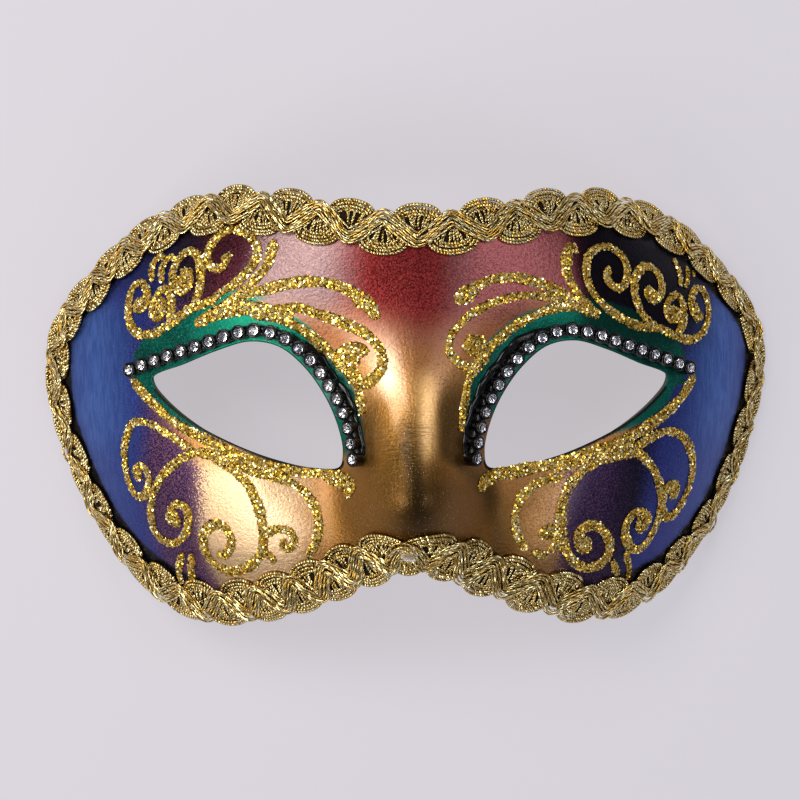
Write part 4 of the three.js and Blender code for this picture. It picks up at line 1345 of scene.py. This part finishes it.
# Each stroke is its width and the plan points it is drawn through; the short wide ones are
# the blobs where the nozzle rested
LEFT_STROKES = [
    (2.1, [(-64.8, 25.7), (-65.8, 25.6), (-65.5, 24), (-64, 24.6), (-63, 27.4), (-63.7, 29.3),
        (-65.1, 30.1), (-66.6, 28.8), (-67.5, 26.4), (-67.8, 23.4), (-67.3, 20.3), (-65.6, 18.4),
        (-62.6, 18.2), (-59.4, 19.8), (-56.4, 21.9), (-53.2, 24.5), (-50.2, 26), (-47.6, 27.2),
        (-44.6, 29.6), (-41, 32), (-38.8, 34.4), (-36.9, 37.2), (-36.6, 39.8), (-38.4, 42.4),
        (-41.3, 43.8), (-44.4, 43.2), (-46.8, 41), (-48.3, 38.2), (-48.4, 36), (-46.6, 34.6),
        (-44.8, 35.1), (-43.8, 36.9), (-42.8, 38.2)]),
    (3.2, [(-66.4, 24.4), (-65, 25.2), (-63.6, 25.8)]),
    (2.8, [(-44.6, 35.4), (-43.6, 37.8)]),
    (2.0, [(-57.6, 21.2), (-57.1, 24.4), (-57.3, 27.6), (-58.8, 29.3), (-60.2, 28.2), (-61.5, 26.2),
        (-62.1, 24.2), (-61, 22.3), (-59.6, 23.2), (-59, 25.4), (-60, 26.4), (-60.4, 24.6)]),
    (2.8, [(-60.9, 23.2), (-59.8, 25.8)]),
    (2.2, [(-51.8, 25.4), (-50.6, 28.6), (-50, 32.6), (-50.5, 36.8), (-52.2, 38.3), (-54.1, 37.5),
        (-55.8, 35.4), (-57, 32), (-56.1, 29.6), (-54.3, 29.1), (-52.9, 30.8), (-53, 33.2),
        (-54.3, 33.4), (-54.6, 31.4)]),
    (2.8, [(-56.2, 31.6), (-54.6, 30.4), (-53.6, 32)]),
    (1.8, [(-61.9, 30.6), (-62.1, 32.8), (-61.4, 35.2), (-59.8, 36.6), (-58.8, 36.2)]),
    (1.7, [(-59.5, 30.4), (-59.7, 32.8), (-58.8, 35.2), (-57.1, 36.6), (-56.2, 36)]),
    (3.0, [(-32.6, 41.8), (-33.2, 39.2)]),
    (2.2, [(-32.6, 41.8), (-33.4, 38), (-35.2, 34.6), (-38.2, 31.4), (-41.4, 28.5), (-45, 26)]),
    (2.6, [(-49, 22.9), (-45, 25.6), (-40.4, 28.7), (-35.5, 30.1), (-30, 31.7), (-24.6, 32.5),
        (-19.6, 32.1), (-14.8, 30.4), (-11.4, 28.2), (-9.4, 25.8), (-8.8, 24.2)]),
    (3.6, [(-14.4, 29.4), (-11.2, 27.4), (-8.8, 24.8)]),
    (2.5, [(-51.2, 21.2), (-49.4, 22.7), (-44.6, 24.2), (-38.6, 25.5), (-32.6, 25.5), (-27.1, 26.3),
        (-21.6, 24.8), (-16, 22.9), (-11.8, 20.9), (-9, 18.7), (-7.6, 15.8), (-7.8, 12.8),
        (-9.8, 10.3), (-12.1, 8.9)]),
    (3.2, [(-47, 24.2), (-42, 25.8), (-37, 25.8), (-32, 24.8), (-28.4, 24.2)]),
    (2.4, [(-38, 24.6), (-33, 24.1), (-28.6, 22.6), (-24.4, 20), (-20.8, 16.9), (-17.4, 13.7),
        (-14.4, 11), (-12.9, 8), (-12.5, 4.6), (-12.2, 2)]),
    (3.4, [(-19.4, 15.4), (-16.4, 13.2), (-14.2, 10.8), (-12.8, 8.6)]),
    (3.2, [(-18, 13.6), (-16.6, 15.9), (-14.2, 17.2), (-12, 16.8), (-11.4, 15.8)]),
    (2.8, [(-16.6, 12.8), (-14.4, 14.4), (-12.8, 14.4)]),
    (3.5, [(-21.4, -13.5), (-17.4, -14.1), (-15.2, -16.2)]),
    (2.4, [(-67, 7.2), (-62.6, 2.6), (-57.5, -1.6), (-51.6, -4.8), (-45.8, -7.2), (-40, -9.8),
        (-33.5, -11.8), (-26.5, -12.9), (-18, -13.2), (-14.7, -14.6), (-15.8, -17.8)]),
    (2.6, [(-51.4, -9), (-47.4, -9.6), (-43.4, -11.2)]),
    (3.6, [(-47, -8.2), (-42, -10.6), (-37.4, -12.4), (-31, -13.4)]),
    (1.9, [(-52, -8.8), (-55.5, -6.9), (-59.4, -4.6), (-63.2, -3), (-66.4, -3.2), (-68.2, -6),
        (-69.2, -10.4), (-69, -15.2), (-68, -19.6), (-66.4, -22.1), (-64.4, -21.8), (-63.4, -19.2),
        (-63.4, -16), (-64.6, -14.1), (-66.2, -14.4), (-66, -17)]),
    (3.0, [(-66.5, -14.2), (-65.6, -17.8)]),
    (2.0, [(-50.5, -8.8), (-54.6, -10.8), (-58.2, -14), (-60.8, -17.6), (-62.4, -22), (-62.9, -26.6),
        (-62, -30.8), (-59.6, -33.2), (-56.8, -33), (-54.6, -30.6), (-53.5, -26.8), (-54.2, -23.4),
        (-56.2, -22.8), (-58.1, -24.6), (-58, -27.6), (-56.2, -27.8), (-56, -26)]),
    (2.8, [(-57.6, -24.2), (-56.4, -27.8)]),
    (2.4, [(-48, -9.6), (-43.4, -12.4), (-39.4, -16), (-37, -20.6), (-35.8, -25.8), (-35.6, -31),
        (-36.8, -34.8), (-40, -37.8), (-44.2, -39), (-47.6, -37.4), (-49.8, -33.8), (-49.8, -29.8),
        (-47.8, -27.2), (-45.2, -27.2), (-43.4, -29.6), (-43.5, -32.8), (-45.2, -34.9),
        (-46.6, -34.4)]),
    (2.1, [(-40, -12.6), (-34, -13.9), (-28.5, -15.6), (-24.8, -18.6), (-22.7, -22.6), (-22.4, -26.8),
        (-23.4, -30.8), (-24.9, -33.9)]),
    (2.0, [(-35.6, -28.8), (-32.4, -27.1), (-29.4, -27.4), (-28.2, -29.6), (-29.3, -32), (-30.9, -31),
        (-30.4, -29.4)]),
    (1.9, [(-35.6, -32.4), (-33.9, -34.3), (-32.6, -35.5)]),
    (1.9, [(-55.2, -35.6), (-56.2, -38.8), (-56.2, -41.6), (-55.6, -44)]),
    (2.0, [(-52.8, -35.4), (-53.2, -39), (-53, -41.6), (-52.4, -44)]),
]
RIGHT_STROKES = [
    (1.9, [(46, 33.8), (46.4, 32), (48, 30.2), (50, 29.7), (51.4, 31.4), (51.6, 34.4), (50.2, 37.2),
        (47.4, 39.2), (44.4, 39.4), (42, 37.6), (41.2, 34.6), (41.7, 31.4), (43.4, 28.2), (46.4, 25.1),
        (50.4, 22.4), (55, 20.3), (60.2, 19.4), (64, 17.3), (68.2, 16.1), (71.2, 17.4), (72.9, 20.4),
        (73.1, 24), (71.8, 27.3), (70, 27.8), (68.5, 25.6), (68.8, 22.4), (70.2, 20.7), (71.1, 21.9)]),
    (2.6, [(46.9, 34.8), (46.4, 32.2)]),
    (2.8, [(69, 25), (70.4, 21.2)]),
    (2.1, [(59.6, 19.4), (56.6, 21.6), (54.4, 25), (53.4, 29), (54, 32.4), (56.6, 34.3), (59.2, 33),
        (60.6, 29.8), (60, 27), (58.3, 26.4), (56.8, 28), (57.4, 29.4)]),
    (2.7, [(57, 29), (59.1, 27.2)]),
    (2.0, [(64.4, 17.8), (66.1, 20.4), (66.3, 24), (65, 26.7), (63, 26.6), (61.8, 24), (62.6, 21.6),
        (64.4, 21.6), (64.7, 23.9)]),
    (2.8, [(63.2, 24.6), (64.2, 21.8)]),
    (1.2, [(64.2, 35.4), (65.3, 33.2), (65.8, 31), (65.6, 29)]),
    (1.2, [(67.7, 33), (67.9, 30.8), (67, 28.4)]),
    (0.8, [(69.5, 32), (69.5, 30.6)]),
    (2.1, [(38.9, 38.4), (38, 39.8), (36.6, 39), (36, 37), (36.4, 34), (37.5, 31.2), (39.6, 28.4),
        (42, 25.5), (44.2, 23.7)]),
    (3.0, [(36.8, 39), (36.1, 35.4)]),
    (2.3, [(10.2, 27.4), (10.9, 29.4), (14.2, 31.4), (18.6, 33), (23.3, 33.3), (28, 32.4), (33, 30.6),
        (37.4, 28), (40.2, 25.6), (44.2, 23.8)]),
    (3.4, [(10, 28), (12.2, 29.6), (15, 31)]),
    (1.9, [(40, 26.2), (35, 27.7), (30, 28.9), (24.6, 29), (19.6, 27.9), (15, 26), (11.6, 23.7),
        (9, 21), (8, 17.8), (9, 15.1), (12.8, 12.4)]),
    (2.1, [(41.6, 25.4), (37, 26.2), (32, 25.5), (27.4, 23.8), (22.6, 21.2), (18.8, 17.9), (15.2, 14),
        (13, 10.4), (11.9, 6.4), (11.3, 2.2), (10.8, -1.9)]),
    (3.2, [(17.6, 16.6), (15, 13.6), (13, 11)]),
    (4.4, [(11.4, 17.2), (14.2, 17.9), (16.8, 17)]),
    (3.0, [(33.4, 27.2), (36.6, 27.4), (40, 26.4)]),
    (3.4, [(19.6, -13.8), (16.8, -14.4), (16, -16.2)]),
    (3.2, [(33, -12.2), (40, -10.6), (47, -9), (53, -6.8)]),
    (2.8, [(69, 7.4), (66, 3), (62, -0.6), (56.9, -3.7), (51.4, -6.3), (45.6, -8.4), (38.6, -10.1),
        (31, -11.8), (22.3, -13.1), (16.6, -13.9), (15.8, -16.8)]),
    (2.2, [(49, -9), (53.5, -8.8), (57.2, -6.8), (61.5, -5.6), (65.2, -6.6), (68, -9.8), (69.4, -14),
        (69.4, -18.8), (67.8, -23.8), (65.6, -27.2), (63.6, -28.2), (62, -26.2), (62.1, -22),
        (63.4, -19.4), (65.2, -20), (65.1, -22.4)]),
    (3.2, [(64, -19.6), (64.8, -23.2)]),
    (2.3, [(49.6, -9.8), (54, -10), (57.6, -13.2), (60.2, -17.8), (61.4, -22.8), (61.1, -27),
        (59.4, -31.8), (57, -35), (54.4, -35.2), (52.4, -32.2), (52.2, -28.4), (54.2, -25.5),
        (56.6, -25.6), (57.9, -28), (56.4, -29.9), (55.1, -28.4)]),
    (2.5, [(55.8, -26.4), (56, -29.2)]),
    (2.5, [(54, -9.9), (49, -10.3), (44.2, -11.1), (40.2, -13.8), (37, -17.6), (35.6, -22),
        (35.5, -27), (36.6, -32.4), (39.4, -36.6), (43.4, -38.6), (47, -37.2), (48.3, -33.8),
        (47, -30), (43.8, -27.3), (41, -28), (40.1, -30.8), (41.3, -33.2), (43.3, -32.8)]),
    (2.7, [(41, -30.4), (42.8, -32.8)]),
    (2.0, [(35.4, -14.7), (31.4, -15.2), (27.8, -17), (25.2, -20), (24.2, -24), (24.8, -28),
        (27.1, -32)]),
    (2.1, [(28.8, -32.6), (30.6, -33.9), (32.4, -34.2)]),
    (2.1, [(32.8, -33.4), (34.2, -31.6), (35.4, -30)]),
    (3.8, [(30.2, -28.8), (33, -28), (35.6, -27.8)]),
    (1.7, [(49.2, -37.4), (50, -39.7), (50.8, -41.6)]),
    (1.7, [(52.6, -35.6), (53.4, -38.8), (53.8, -41), (53.4, -43)]),
]

STROKE_STEP = 0.5
# How a hand-drawn stroke swells and trembles: share of its width, and mm to a radian of the wave
STROKE_SWELL = 0.11
SWELL_PACE = 3.1
STROKE_TREMBLE = 0.06
TREMBLE_PACE = 1.3
# It starts out this thin and is full after a quarter of this length
STROKE_END_SHARE = 0.75
STROKE_END_LENGTH = 8
BEAD_HEIGHT = 0.42
BEAD_SINK = 0.02
BEAD_PLACES = np.linspace(-1, 1, 7)
# Where the bead's foot lies, as shares of its half width, and how deep in the paint
BEAD_FOOT = (0.9, -0.9)
BEAD_FOOT_LIFT = -0.25
FLAKE_RADIUS = 0.26
FLAKE_AREA = 2.6 * FLAKE_RADIUS ** 2
FLAKE_COVER = 1.55
FLAKE_LEAN = 0.37
FLAKE_OVERHANG = 1.04
FLAKE_LIFT = (0.02, 0.16)
FLAKE_SLOPE = 0.35
FLAKE_SIZES = (0.75, 1.25)
FLAKE_BRIGHTNESS = (0.85, 1.1)
# Colour of each flake with its light painted in, pale ones as painted highlights and dark
# ones as painted shade, and the share of the flakes
FLAKE_SHADES = [
    ("#eec64a", 0.42), ("#fff0ac", 0.23), ("#b8902c", 0.13), ("#4c3a08", 0.14), ("#dc9038", 0.02),
    ("#fff2cc", 0.06),
]


def glitter_glue():
    """The glue between the flakes: gold dust and dark gaps, glossy where it has pooled."""
    material, tree = new_material("gold_glitter_glue")
    grit = grain(tree, 0.5, detail=3, roughness=0.7)
    return finish_surface(material, {
        "Base Color": mottled(tree, grit, 0.42, 0.6, "#70540e", "#dab04a"),
        "Metallic": 0.7,
        "Roughness": 0.35}, grit, 0.2)


def gold_flake():
    """Die-cut polyester flakes with a gold metal coat: small mirrors, each with its own colour,
    in which pale flakes carry painted highlights and dark ones painted shade.
    """
    material, tree = new_material("gold_foil_flake")
    return finish_surface(material, {
        "Base Color": add_node(tree, "Attribute", output="Color", attribute_name="flake"),
        "Metallic": 0.8,
        "Roughness": 0.22})


def stroke_stations(points):
    """Plan points and sideways directions at even steps along a stroke, and its length."""
    line = smooth_line(points, closed=False, per_span=24)
    _, _, length = stations_along(line, 2, closed=False)
    plan, along, _ = stations_along(line, max(4, round(length / STROKE_STEP)), closed=False)
    return plan, plan_heading(plan, along)[1], length


def stroke_width(width, share, length, phase):
    """Width along a stroke: round and thinner at its ends and a little uneven from the hand."""
    ends = np.minimum(share, 1 - share) * length
    swell = 1 + STROKE_SWELL * np.sin(share * length / SWELL_PACE + phase)
    swell += STROKE_TREMBLE * np.sin(share * length / TREMBLE_PACE)
    blunt = np.sqrt(1 - np.clip(1 - (ends + 0.15) / (0.5 * width), 0, 1) ** 2)
    thinned = np.clip(STROKE_END_SHARE + ends / STROKE_END_LENGTH, STROKE_END_SHARE, 1)
    return width * swell * blunt * thinned


def dome(place):
    """Height of the bead at a share of its half width."""
    return BEAD_HEIGHT * np.sqrt(np.clip(1 - place ** 2, 0, 1))


def scatter_flakes(plan, heading, half_width, length, random):
    """Corners and centres of six-sided flakes that lie every way over one bead."""
    count = int(FLAKE_COVER * length * 2 * half_width.mean() / FLAKE_AREA)
    at = random.uniform(0, len(plan) - 1.001, count)
    i, t = at.astype(int), (at % 1)[:, None]
    turned = unit(heading[i] * (1 - t) + heading[i + 1] * t)
    place = random.uniform(-1, 1, count) * FLAKE_OVERHANG
    spot = walk(plan[i] * (1 - t) + plan[i + 1] * t, turned, place * half_width[i], steps=4)
    foot = face_point(spot, dome(place) + random.uniform(*FLAKE_LIFT, count))
    slope = np.concatenate([turned, np.zeros((count, 1))], 1) * (FLAKE_SLOPE * place)[:, None]
    facing = unit(face_normal(spot) + slope + FLAKE_LEAN * random.normal(size=(count, 3)))
    side = unit(np.cross(facing, random.normal(size=(count, 3))))
    radius = FLAKE_RADIUS * random.uniform(*FLAKE_SIZES, count)
    turn = (np.pi * np.arange(6) / 3)[:, None]
    spokes = side[:, None] * np.cos(turn) + np.cross(facing, side)[:, None] * np.sin(turn)
    return (foot[:, None] + spokes * radius[:, None, None]).reshape(-1, 3), count


def make_scrolls(label, strokes, seed):
    """All beads of one side as one piece, and all flakes on them as another."""
    random = np.random.default_rng(seed)
    bead_points, bead_quads, bead_ends, total = [], [], [], 0
    flake_points, flake_shades = [], []
    palette = np.array([linear(code) for code, _ in FLAKE_SHADES])
    chances = np.array([share for _, share in FLAKE_SHADES])
    sides = len(BEAD_PLACES) + len(BEAD_FOOT)
    for width, points in strokes:
        phase = random.uniform(0, 2 * np.pi)
        plan, heading, length = stroke_stations(points)
        half_width = stroke_width(width, np.linspace(0, 1, len(plan)), length, phase) / 2
        lifts = [dome(place) - BEAD_SINK for place in BEAD_PLACES] + [BEAD_FOOT_LIFT] * len(BEAD_FOOT)
        rings = [face_point(walk(plan, heading, place * half_width, steps=4), lift)
                 for place, lift in zip([*BEAD_PLACES, *BEAD_FOOT], lifts)]
        bead_points.append(np.stack(rings, 1).reshape(-1, 3))
        quads, ends = bar_faces(len(plan), sides, base=total)
        bead_quads.append(quads)
        bead_ends += ends
        total += len(plan) * sides

        corners, count = scatter_flakes(plan, heading, half_width, length, random)
        flake_points.append(corners)
        picked = palette[random.choice(len(palette), count, p=chances)]
        flake_shades.append(picked * random.uniform(*FLAKE_BRIGHTNESS, (count, 1)))
    bead = make_piece("glitter_glue_%s" % label, np.concatenate(bead_points),
                      [np.concatenate(bead_quads), *bead_ends], [glue_material])
    corners = np.concatenate(flake_points)
    shades = np.repeat(np.concatenate(flake_shades), 6, axis=0)
    flakes = make_piece("glitter_flakes_%s" % label, corners,
                        [np.arange(len(corners)).reshape(-1, 6)], [flake_material], smooth=False,
                        shades={"flake": np.clip(shades, 0, 1)})
    for piece in (bead, flakes):
        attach(piece, "root")


glue_material = glitter_glue()
flake_material = gold_flake()
make_scrolls("left", LEFT_STROKES, 41)
make_scrolls("right", RIGHT_STROKES, 42)


# Table, lamps and surroundings
# A pale, smooth table, two wide soft lamps on the left, two weaker ones on the right, and a
# dim room. The table glows a little, as a lit backdrop does.

TABLE_HALF_SIZE = 2600
TABLE_Z = -0.2
LAMP_AIM_Z = 30


def pale_table():
    """A smooth sheet of pale grey board: matt, with a glow of its own to stand for a backdrop
    that is lit apart from the mask."""
    material, _ = new_material("pale_table")
    return finish_surface(material, {
        "Base Color": "#827e84",
        "Roughness": 0.7,
        "Emission Color": "#dedbe2",
        "Emission Strength": 0.625})


def make_table():
    corners = TABLE_HALF_SIZE * np.array([[-1, -1, 0], [1, -1, 0], [1, 1, 0], [-1, 1, 0]])
    table = make_piece("table", corners + [0, 0, TABLE_Z], [np.array([[0, 1, 2, 3]])],
                       [pale_table()])


def make_lamp(name, azimuth, elevation, distance, size, watts, colour="#ffffff"):
    """Soft rectangular lamp that faces the mask from a direction in degrees."""
    a, e = np.radians([azimuth, elevation])
    toward = np.array([np.cos(a) * np.cos(e), np.sin(a) * np.cos(e), np.sin(e)])
    data = bpy.data.lights.new(name, "AREA")
    data.shape = "RECTANGLE"
    data.size, data.size_y = size[0] * MM, size[1] * MM
    data.energy = watts
    data.color = linear(colour)[:3]
    lamp = bpy.data.objects.new(name, data)
    side = unit(np.cross([0, 0, 1], toward))
    up = np.cross(toward, side)
    place = np.array([0, 0, LAMP_AIM_Z]) + toward * distance
    turned = np.column_stack([side, up, toward, place * MM])
    lamp.matrix_world = Matrix([*turned.tolist(), [0, 0, 0, 1]])
    bpy.context.scene.collection.objects.link(lamp)


def make_room():
    """A dim, slightly cool surround, and colours shown as they are."""
    world = bpy.data.worlds.new("room")
    world.use_nodes = True
    back = world.node_tree.nodes["Background"]
    back.inputs["Color"].default_value = linear("#c8c8d0")
    back.inputs["Strength"].default_value = 0.27
    bpy.context.scene.world = world
    bpy.context.scene.view_settings.view_transform = "Standard"


make_table()
make_lamp("lamp_upper_left", 139, 49, 900, (520, 400), 5.0, "#fffaf2")
make_lamp("lamp_lower_left", 205, 38, 900, (560, 400), 3.5, "#fffaf2")
make_lamp("lamp_upper_right", 40, 50, 950, (420, 340), 1.5, "#f6f6ff")
make_lamp("lamp_lower_right", -30, 42, 950, (460, 340), 1.35, "#f6f6ff")
make_room()
